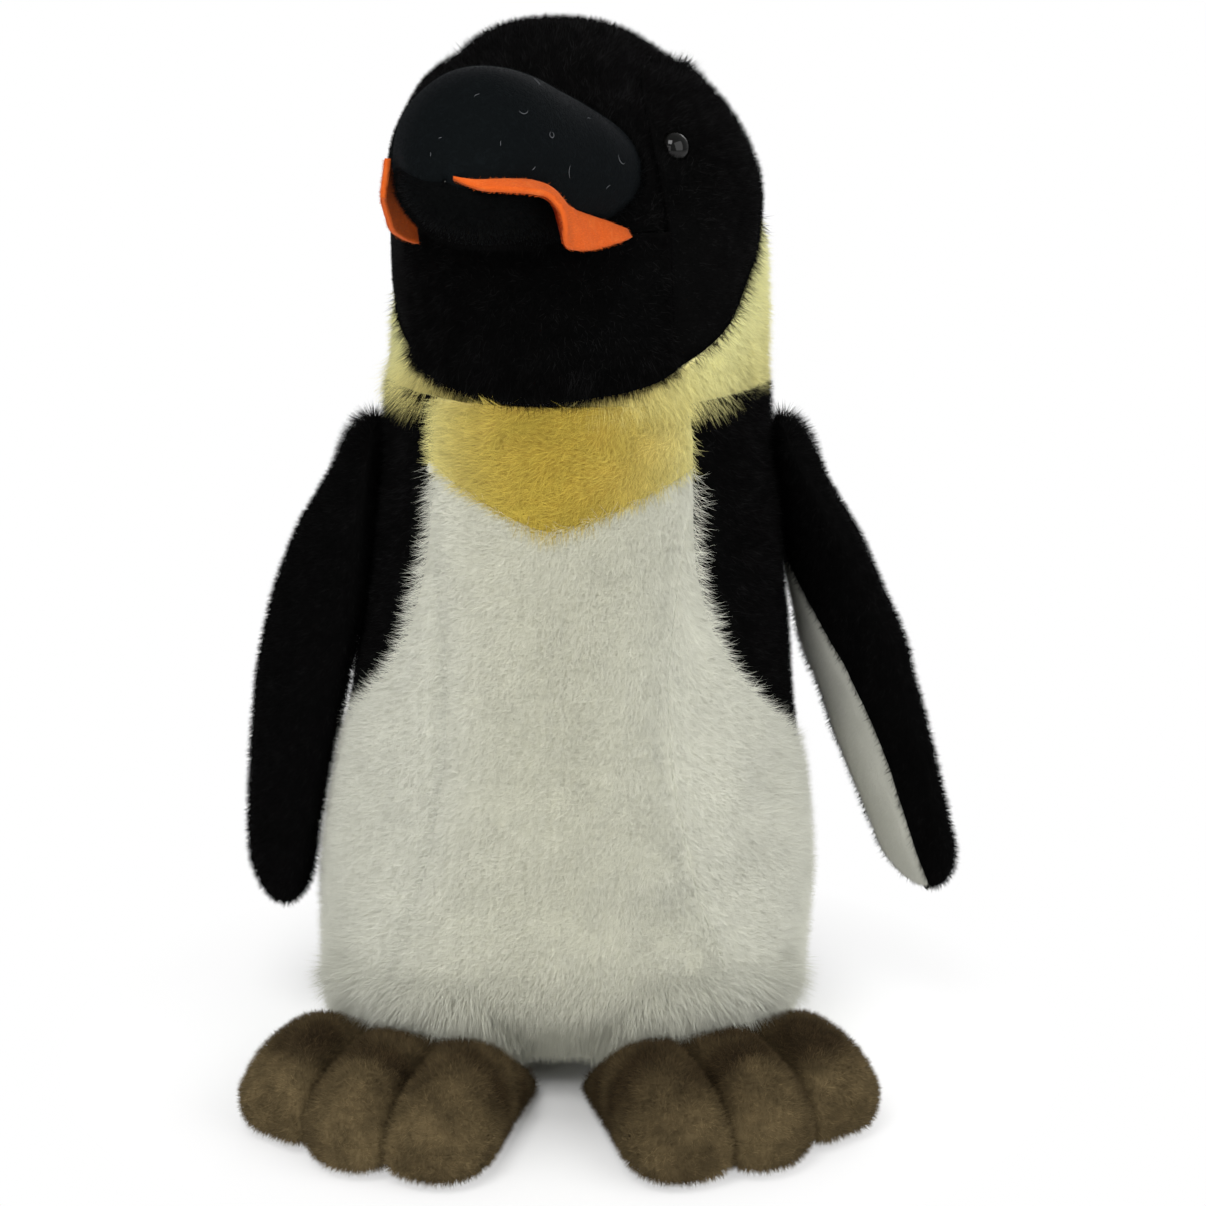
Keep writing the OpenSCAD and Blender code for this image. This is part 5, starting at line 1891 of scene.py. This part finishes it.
@dataclass
class Flipper:
    """One flipper: a black face, a white lining and its filling.

    Attributes:
        side: the toy's side.
        spread: outward hang in degrees.
        bow: how far it bows outward.
        twist: turn in degrees that shows one face.
        shoulder: place of its root.
        lining_edge: angle of the lining's rear edge from the outer face.
        lining_wide: angle that the lining spans along the length.
        cloth: thickness of its cloth.
    """

    side: Side
    spread: float
    bow: float
    twist: float
    shoulder: Place
    lining_edge: float = 118
    lining_wide: tuple = ((0, 12), (0.18, 18), (0.4, 60), (0.6, 78), (0.85, 84), (1, 84))
    cloth: float = 1.8

    def paddle(self) -> Paddle:
        """The flipper's form."""
        chords = ((0, 0.7), (0.14, 0.88), (0.34, 1), (0.62, 0.94), (0.88, 0.78), (1, 0.66))
        thicks = ((0, 0.5), (0.28, 1), (0.7, 0.85), (1, 0.6))
        return Paddle(150, 42, 16, chords, thicks, 3, self.bow, self.twist)

    def place(self) -> Matrix:
        """The flipper's place at its shoulder, in millimetres."""
        turn = Matrix.Rotation(math.radians(-self.side.sign * self.spread), 4, "Y")
        mirror = Matrix.Diagonal((self.side.sign, 1, 1, 1))
        return Matrix.Translation(self.shoulder) @ turn @ mirror

    def build(self) -> None:
        """Makes both faces, with longer pile at the root, and the filling."""
        paddle, place, word = self.paddle(), self.place(), self.side.word
        body = f"flipper_{word}"

        def rear(t: Points) -> Points:
            """Angle of the lining's rear edge."""
            return np.full_like(t, self.lining_edge)

        def front(t: Points) -> Points:
            """Angle of the lining's front edge."""
            return self.lining_edge + curve(self.lining_wide, t)

        outer = paddle.face(lambda t: front(t) - 360, rear, 80, 0.4).moved(place)
        thick = 1 + 1.3 * (1 - ramp(outer.reach()["low"], 2, 26))
        node = f"flipper_outer_{word}"
        Panel(node, outer, SHORT, SHORT_PILE, TO_END, body, self.cloth, thick).build()
        inner = paddle.face(rear, front, 24, 0.4).moved(place)
        node = f"flipper_lining_{word}"
        Panel(node, inner, LINING, LINING_PILE, TO_END, body, self.cloth).build()
        paddle.fill(f"flipper_stuffing_{word}", body, place, inset=3.0, lumps=0.4)


@dataclass
class Tail:
    """The short tail: its upper side, its underside and its filling.

    Attributes:
        root: place of its root.
        slant: its angle below the horizon, in degrees.
        cloth: thickness of its cloth.
    """

    root: Place = (0.78, 62.681, 26)
    slant: float = 22
    cloth: float = 1.8

    def build(self) -> None:
        """Makes both sides and the filling."""
        chords = ((0, 1), (0.4, 0.92), (0.75, 0.62), (1, 0.4))
        paddle = Paddle(40, 40, 13, chords, ((0, 0.6), (0.3, 1), (1, 0.5)))
        pitch = Matrix.Rotation(math.radians(90 - self.slant), 4, "X")
        place = Matrix.Translation(self.root) @ pitch @ Matrix.Rotation(math.radians(90), 4, "Z")
        for node, start in (("tail_top", 90), ("tail_underside", -90)):
            edges = [lambda t, edge=edge: np.full_like(t, edge) for edge in (start, start + 180)]
            face = paddle.face(edges[0], edges[1], 40, 0.4).moved(place)
            Panel(node, face, SHORT, SHORT_PILE, TO_END, "tail", self.cloth).build()
        paddle.fill("tail_stuffing", "tail", place, inset=2.5, lumps=0.3)


@dataclass
class Foot:
    """One foot with three toes drawn apart by sewn channels, in millimetres.

    Attributes:
        side: the toy's side.
        toe_out: outward turn in degrees.
        heel: place of its heel seam.
        reaches: reach of the toes from the inner one to the outer one.
        seam_z: height of the seam between the upper side and the sole.
        cloth: thickness of the cover.
        channel: depth of the channels between the toes, as a share of the height.
        worn: how much paler its plush is painted, as painted light on the foot that stands in more light.
    """

    side: Side
    toe_out: float
    heel: Place
    reaches: tuple = ((-0.67, 68), (0, 69), (0.67, 56))
    heel_w: float = 60
    toes_w: float = 78
    toe_h: float = 27
    seam_z: float = 11
    heel_h: float = 9
    cloth: float = 2.5
    channel: float = 0.8
    worn: float = 0.02

    def plan(self, j: Points, along: Points, inset: float) -> tuple[Points, Points, Points]:
        """A place in the foot's plan.

        Args:
            j: column, from 0 at the inner edge to 12 at the outer one.
            along: from 0 at the heel to 1 at the toes.
            inset: depth inside the outline.

        Returns:
            x, y and the swing across the toe in degrees.
        """
        toe = np.minimum(np.floor(j / 4), 2)
        swing = 180 * (j - toe * 4) / 4 - 90
        across = (2 * toe + 1 + sind(swing)) / 3 - 1
        notch = np.where(np.abs(across) > 0.7, 14, 6)
        tip = curve(self.reaches, across) - notch * (1 - cosd(swing)) - inset
        x = across * (mix(self.heel_w, self.toes_w, along) / 2 - inset)
        return x, -mix(inset, tip, along), swing

    def fullness(self, j: Points, along: Points, swing: Points) -> Points:
        """Share of the full height: round across a toe, less in the channels and at the tips."""
        depth = self.channel * np.clip((along - 0.2) / 0.4, 0, 1)
        side = cosd(swing)
        share = np.where((j < 2) | (j > 10), side, 1 - depth * (1 - side))
        tip = np.sqrt(np.maximum(0, 1 - (np.maximum(along - 0.7, 0) / 0.3) ** 2))
        return share * tip

    def surface(self, under: bool, inset: float = 0.0) -> Surface:
        """The upper side or the sole.

        Args:
            under: whether it is the sole.
            inset: depth inside the outer surface.

        Returns:
            The surface in the foot's frame, from heel to toes.
        """
        bend = np.concatenate([np.linspace(0, 80, 22), [83, 85.5, 87.5, 89, 89.7, 90]])
        step = np.concatenate([np.linspace(0, 0.7, 34), mix(0.7, 1, sind(bend))[1:]])
        edge = np.array([0, 0.03, 0.08, 0.16])
        cols = np.concatenate([edge, np.linspace(0.25, 11.75, 93), 12 - edge[::-1]])
        j, along = np.meshgrid(cols, step)
        x, y, swing = self.plan(j, along, inset)
        seam = curve(((0, self.heel_h / 2), (0.35, self.seam_z), (1, self.seam_z)), along)
        full = self.fullness(j, along, swing)
        low, high = self.heel_h, self.toe_h
        heights = ((0, low), (0.15, 1.45 * low), (0.35, 0.88 * high), (0.62, high), (1, 0.85 * high))
        if inset:
            full = full * (1 - 0.45 * bell(np.abs(j - 6) - 2, 0.8))
        if under:
            z = seam - (seam - inset) * full**0.35
        else:
            z = seam + (curve(heights, along) - seam - inset) * full
        points = stacked(x, y, z)
        # Painted light makes the foot in more light paler all over; the toes grow paler towards their tips,
        # and soft random patches mottle the plush.
        tone = np.clip(self.worn + 0.55 * ramp(along, 0.6, 1.0) + 0.35 * noise(points, 9, 71), 0, 1)
        return Surface(points, np.array([0, -30, self.seam_z]), tone)

    def place(self) -> Matrix:
        """The foot's place at its heel, in millimetres."""
        turn = Matrix.Rotation(math.radians(self.side.sign * self.toe_out), 4, "Z")
        return Matrix.Translation(self.heel) @ turn @ Matrix.Diagonal((self.side.sign, 1, 1, 1))

    def build(self) -> None:
        """Makes the upper side, the sole and the filling."""
        word, place = self.side.word, self.place()
        body = f"foot_{word}"
        upper = self.surface(False).lumpy(height=0.7, size=11, seed=37).moved(place)
        Panel(f"foot_upper_{word}", upper, FOOT, FOOT_PILE, TO_END, body, 2.0).build()
        sole = self.surface(True).moved(place)
        away = ramp(sole.points[..., 2], 0.6, 2.5)
        Panel(f"foot_sole_{word}", sole, FOOT, FOOT_PILE, TO_END, body, 2.0, away).build()
        top = self.surface(False, self.cloth + 2.0).moved(place).points
        low = self.surface(True, self.cloth + 1.5).moved(place).points
        rings = np.concatenate([top[1:-1], low[1:-1, ::-1]], axis=1)
        heel, toes = rings[0].mean(axis=0), rings[-1].mean(axis=0)
        mesh = core_mesh(f"foot_stuffing_{word}_fibre", rings, heel, toes, 0.2)
        show(mesh, FIBRE, body, [f"foot_stuffing_{word}"])


@dataclass
class Studio:
    """The camera, lamps, floor and backdrop.

    Attributes:
        target: the point that the camera looks at, in metres.
        distance: the camera's distance from it.
        elevation: the camera's angle above the horizon.
        lens: focal length for a 36 mm sensor.
        lamps: name, place, size and power of each lamp.
    """

    target: Place = (0.0124, 0.0, 0.1327)
    distance: float = 0.85
    elevation: float = 15.0
    lens: float = 87.61
    lamps: tuple = (
        ("Key", (-0.25, -0.85, 1.25), 0.6, 10.2),
        ("Fill", (0.95, -0.8, 0.7), 1.2, 9.6),
        ("Low", (-0.6, -1.0, 0.3), 0.9, 5.0),
        ("Back", (0.35, 1.25, 0.5), 1.2, 14.0),
    )

    def build(self) -> None:
        """Makes the whole set."""
        scene = bpy.context.scene
        scene.view_settings.view_transform = "Standard"
        data = bpy.data.cameras.new("Camera")
        data.lens, data.sensor_width = self.lens, 36.0
        data.clip_start = 0.01
        camera = bpy.data.objects.new("Camera", data)
        e = math.radians(self.elevation)
        back = Vector((0, -math.cos(e), math.sin(e)))
        camera.location = Vector(self.target) + back * self.distance
        camera.rotation_euler = (-back).to_track_quat("-Z", "Y").to_euler()
        scene.collection.objects.link(camera)
        scene.camera = camera
        for lamp in self.lamps:
            self.lamp(*lamp)
        self.floor()
        self.world()

    def lamp(self, name: str, place: Place, size: float, power: float) -> None:
        """One soft lamp aimed at the toy.

        Args:
            name: the lamp's name.
            place: where it hangs.
            size: side of its square face.
            power: its power in watts.
        """
        data = bpy.data.lights.new(name, "AREA")
        data.size, data.energy = size, power
        lamp = bpy.data.objects.new(name, data)
        lamp.location = place
        lamp.rotation_euler = (Vector(self.target) - Vector(place)).to_track_quat("-Z", "Y").to_euler()
        bpy.context.scene.collection.objects.link(lamp)

    def floor(self) -> None:
        """A wide pale floor that keeps the toy's shadow and fades to white."""
        points = np.array([[-4, -4, 0], [4, -4, 0], [4, 4, 0], [-4, 4, 0]]) / MM
        floor = bpy.data.objects.new("Floor", make_mesh("Floor", points, [np.array([[0, 1, 2, 3]])]))
        floor.location.z = -0.0006
        bpy.context.scene.collection.objects.link(floor)
        pale = (0.93, 0.93, 0.93, 1)
        material, s, shader = new_material("Floor", Base_Color=pale, Roughness=0.9, Specular_IOR_Level=0.1)
        path = s.add("ShaderNodeLightPath")
        place = s.add("ShaderNodeTexCoord").outputs["Object"]
        away = s.add("ShaderNodeVectorMath", {"operation": "LENGTH"})
        s.feed(away.inputs[0], place)
        far = s.add("ShaderNodeMapRange", Value=away.outputs["Value"], From_Min=0.06, From_Max=0.15)
        glow = s.add("ShaderNodeEmission", Color=(1, 1, 1, 1), Strength=1.0)
        seen = s.sum("MULTIPLY", path.outputs["Is Camera Ray"], far.outputs[0])
        blend = s.add("ShaderNodeMixShader")
        for socket, value in zip(blend.inputs, (seen, shader.outputs[0], glow.outputs[0])):
            s.feed(socket, value)
        s.feed(material.node_tree.nodes["Material Output"].inputs["Surface"], blend.outputs[0])
        floor.data.materials.append(material)
        floor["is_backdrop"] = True

    def world(self) -> None:
        """A white backdrop that lights the toy softly."""
        world = bpy.data.worlds.new("Studio")
        bpy.context.scene.world = world
        world.use_nodes = True
        s = Sketch(world.node_tree)
        path = s.add("ShaderNodeLightPath")
        seen = s.sum("MAXIMUM", path.outputs["Is Camera Ray"], path.outputs["Is Transmission Ray"])
        node = world.node_tree.nodes["Background"]
        node.inputs["Color"].default_value = (1, 1, 1, 1)
        s.feed(node.inputs["Strength"], s.sum("MULTIPLY_ADD", seen, 0.55, 0.45))


def dress_washers(nodes: dict[str, bpy.types.Object]) -> None:
    """Gives the eyes' washers their finish.

    Args:
        nodes: the CAD nodes by name.
    """
    for side in Side:
        piece = nodes[f"eye_washer_{side.word}"]
        piece.data.materials.clear()
        piece.data.materials.append(WASHER.material())
        LOG.info("%s dressed", piece.name)


def corners() -> list[list[float]]:
    """Lowest and highest corner of what shows, as plain numbers."""
    return [[float(v) for v in corner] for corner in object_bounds()]


def main() -> None:
    """Builds the toy and its set."""
    logging.basicConfig(level=logging.INFO, format="%(name)s: %(message)s")
    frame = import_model()
    Studio().build()
    Trunk().build()
    Head().build()
    Flipper(Side.LEFT, 19, 0.0, 34, (63.713, 0, 183)).build()
    Flipper(Side.RIGHT, 12, 6.6, -34, (-52.733, 0, 183)).build()
    Tail().build()
    Foot(Side.LEFT, 22, (35, -36.813, 0)).build()
    Foot(Side.RIGHT, 21, (-35, -36.813, 0), worn=0.14).build()
    dress_washers(frame["nodes"])


if __name__ == "__main__":
    main()
